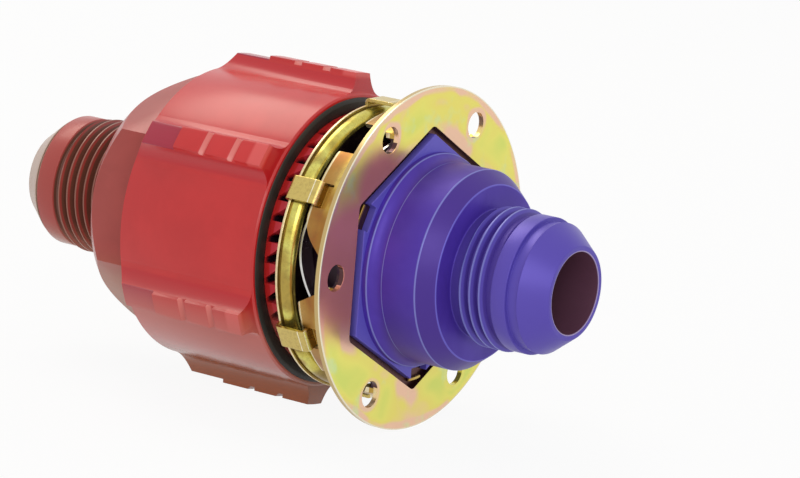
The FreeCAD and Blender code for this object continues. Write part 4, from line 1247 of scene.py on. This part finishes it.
def make_rib():
    """Rib with hollow sides that run out along the nut's wall."""
    half_top = RIB_TOP_WIDTH / 2
    half_base = RIB_BASE_WIDTH / 2
    foot = Vector((half_base, math.sqrt(nut_r ** 2 - half_base ** 2)))
    top = Vector((half_top, rib_r + OVERCUT))
    along = Vector((-foot.y, foot.x)).normalized()
    pulls = (foot + along * RIB_FOOT_PULL, top + Vector(RIB_TOP_PULL))
    side = interpolate_bezier(foot, *pulls, top, RIB_STEPS)
    mirror = [Vector((-point.x, point.y)) for point in reversed(side)]
    core = [Vector((-half_base / 2, RIB_CORE_R)), Vector((half_base / 2, RIB_CORE_R))]
    outline = [(x_nut_rear - OVERCUT, *point) for point in side + mirror + core]
    return pushed(outline, (NUT_LENGTH + 3 * OVERCUT, 0, 0))


def make_dust_ring():
    middle_r = (DUST_IN_R + dust_r) / 2
    ring = turned([
        (x_dust_back, DUST_IN_R),
        (x_nut_front + DUST_EDGE, DUST_IN_R, SOFT_ROUND),
        (x_dust_face, middle_r - DUST_CROWN_HALF, MOUTH_ROUND),
        (x_dust_face, middle_r + DUST_CROWN_HALF, MOUTH_ROUND),
        (x_nut_front + DUST_EDGE, dust_r, SOFT_ROUND),
        (x_dust_back, dust_r),
    ])
    piece("black_dust_ring", ring, "black_rubber", "union_nut", "nut_dust_ring")


def make_hose_body():
    body = turned([
        (x_mouth, SOCKET_R, MOUTH_ROUND),
        (x_mouth, NECK_R, MOUTH_ROUND),
        *groove(reversed(LOAD_GROOVE), NECK_R, LOAD_GROOVE_R),
        (HOSE_HEX_BACK + LAP, NECK_R),
        (HOSE_HEX_BACK + LAP, SOCKET_R),
        (HOSE_HEX_BACK, SOCKET_R),
        *flare_outline(HOSE_HEX_BACK, RED_THREAD, RED_LAND_END, RED_NECK_END, x_red_tip, -1),
        (HOSE_BORE_START, BORE_R),
        (SPIDER_SEAT, PASSAGE_R),
        (SPIDER_SEAT, SLEEVE_BORE_R),
        (SOCKET_END, SLEEVE_BORE_R),
        (SOCKET_END, SOCKET_R),
    ])
    flare = threaded(*RED_THREAD, flare_root_r, FLARE_THREAD_R, FLARE_PITCH)
    form = joined(body, flare, make_hose_hexagon())
    piece("dull_red_body", form, "dull_red_anodise", "female_half", "female_body")


def make_hose_hexagon():
    """Hexagon of the hose body, its back corners turned to a chamfer."""
    length = HOSE_HEX_FRONT - HOSE_HEX_BACK
    hexagon = pushed(polygon(HOSE_HEX_BACK, hose_hex_flat_r, 0.0, HOSE_HEX_TURN), (length, 0, 0))
    run = (hose_hex_corner_r - hose_hex_flat_r) * math.tan(math.radians(HOSE_HEX_CHAMFER))
    envelope = turned([
        (HOSE_HEX_BACK, SOCKET_R),
        (HOSE_HEX_BACK, hose_hex_flat_r - HOSE_HEX_EASE),
        (HOSE_HEX_BACK + run, hose_hex_corner_r),
        (HOSE_HEX_FRONT, hose_hex_corner_r),
        (HOSE_HEX_FRONT, SOCKET_R),
    ])
    return softened(carved(envelope, hexagon, "INTERSECT"), SOFT_ROUND, HOSE_BREAK_ANGLE)


make_blue_body()
make_flange()
make_cup()
make_lock_ring()
make_wave_spring()
make_nut()
make_dust_ring()
make_hose_body()

# Inner solids keep their shape and take a finish
inner_finishes = {
    "spring_steel": [
        "cup_retaining_ring", "guide_snap_ring", "poppet_spring", "sleeve_spring", "nut_load_ring",
    ],
    "bare_aluminium": [
        "poppet_guide", "poppet", "valve_stem", "stem_spider", "stem_lock_nut", "valve_sleeve",
    ],
    "black_rubber": ["interface_seal", "poppet_seal", "stem_seal", "sleeve_seal"],
}
for finish, nodes in inner_finishes.items():
    for node in nodes:
        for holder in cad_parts[node].material_slots:
            holder.material = finishes[finish]


# Studio, in metres and watts: a lamp has its place, size, power and tone
FLOOR_SIZE = 4.0
FLOOR_GREY = (0.86, 0.86, 0.86, 1)
FLOOR_ROUGHNESS = 0.9
FLOOR_WHITE = 0.92
SKY_LIGHT = 0.5
LAMPS = {
    "key": ((-0.42, 0.12, 0.68), 0.45, 2.3, (1.0, 0.90, 0.78)),
    "fill": ((0.62, -0.68, 0.42), 0.6, 2.5, (1.0, 1.0, 1.0)),
}


def white_to_the_eye(tree):
    """One where a ray comes from the camera, a reflection or glass."""
    path = add(tree, "LightPath").outputs
    seen = maths(tree, "MAXIMUM", path["Is Camera Ray"], path["Is Glossy Ray"])
    return maths(tree, "MAXIMUM", seen, path["Is Transmission Ray"])


def make_floor():
    floor = bmesh.new()
    bmesh.ops.create_grid(floor, x_segments=1, y_segments=1, size=FLOOR_SIZE)
    bmesh.ops.translate(floor, verts=floor.verts, vec=(0, 0, solid_box[0][2]))
    made = shown("floor", mesh_of(floor, "floor"))
    tree, shader = surface("pale_floor")
    feed(tree, shader, {"Base Color": FLOOR_GREY, "Roughness": FLOOR_ROUGHNESS})
    glow = add(tree, "Emission", {"Color": (1, 1, 1, 1), "Strength": 1.0})
    share = maths(tree, "MULTIPLY", white_to_the_eye(tree), FLOOR_WHITE)
    blend = add(tree, "MixShader", {0: share, 1: shader.outputs[0], 2: glow.outputs[0]})
    tree.links.new(blend.outputs[0], tree.nodes["Material Output"].inputs["Surface"])
    made.data.materials.append(finishes["pale_floor"])


def make_world():
    world = bpy.data.worlds.new("studio")
    world.use_nodes = True
    tree = world.node_tree
    sky = tree.nodes["Background"]
    sky.inputs["Color"].default_value = (1, 1, 1, 1)
    seen = white_to_the_eye(tree)
    tree.links.new(ranged(tree, seen, 0.0, 1.0, SKY_LIGHT, 1.0), sky.inputs["Strength"])
    bpy.context.scene.world = world


def softbox(name, place, size, power, tone):
    """Square soft lamp that faces the middle of the coupling."""
    lamp = bpy.data.lights.new(name, "AREA")
    lamp.size = size
    lamp.energy = power
    lamp.color = tone
    made = shown(name, lamp)
    made.location = place
    made.rotation_euler = (-Vector(place)).to_track_quat("-Z", "Y").to_euler()


def make_camera():
    azimuth = math.radians(CAMERA_AZIMUTH)
    height = math.radians(CAMERA_HEIGHT)
    roll = math.radians(CAMERA_ROLL)
    back = Vector((
        math.sin(azimuth) * math.cos(height), -math.cos(azimuth) * math.cos(height), math.sin(height),
    ))
    level = Vector((math.cos(azimuth), math.sin(azimuth), 0))
    upright = back.cross(level)
    right = level * math.cos(roll) + upright * math.sin(roll)
    up = upright * math.cos(roll) - level * math.sin(roll)
    place = (back * CAMERA_DISTANCE + right * CAMERA_RIGHT + up * CAMERA_UP) * MM
    lens = bpy.data.cameras.new("camera")
    lens.sensor_fit = "HORIZONTAL"
    lens.sensor_width = SENSOR_WIDTH
    lens.lens = CAMERA_LENS
    lens.clip_end = CAMERA_REACH
    made = shown("camera", lens)
    made.matrix_world = Matrix.Translation(place) @ Matrix((right, up, back)).transposed().to_4x4()
    bpy.context.scene.camera = made


make_floor()
make_world()
for name, lamp in LAMPS.items():
    softbox(name, *lamp)
make_camera()
bpy.context.scene.view_settings.view_transform = "Standard"
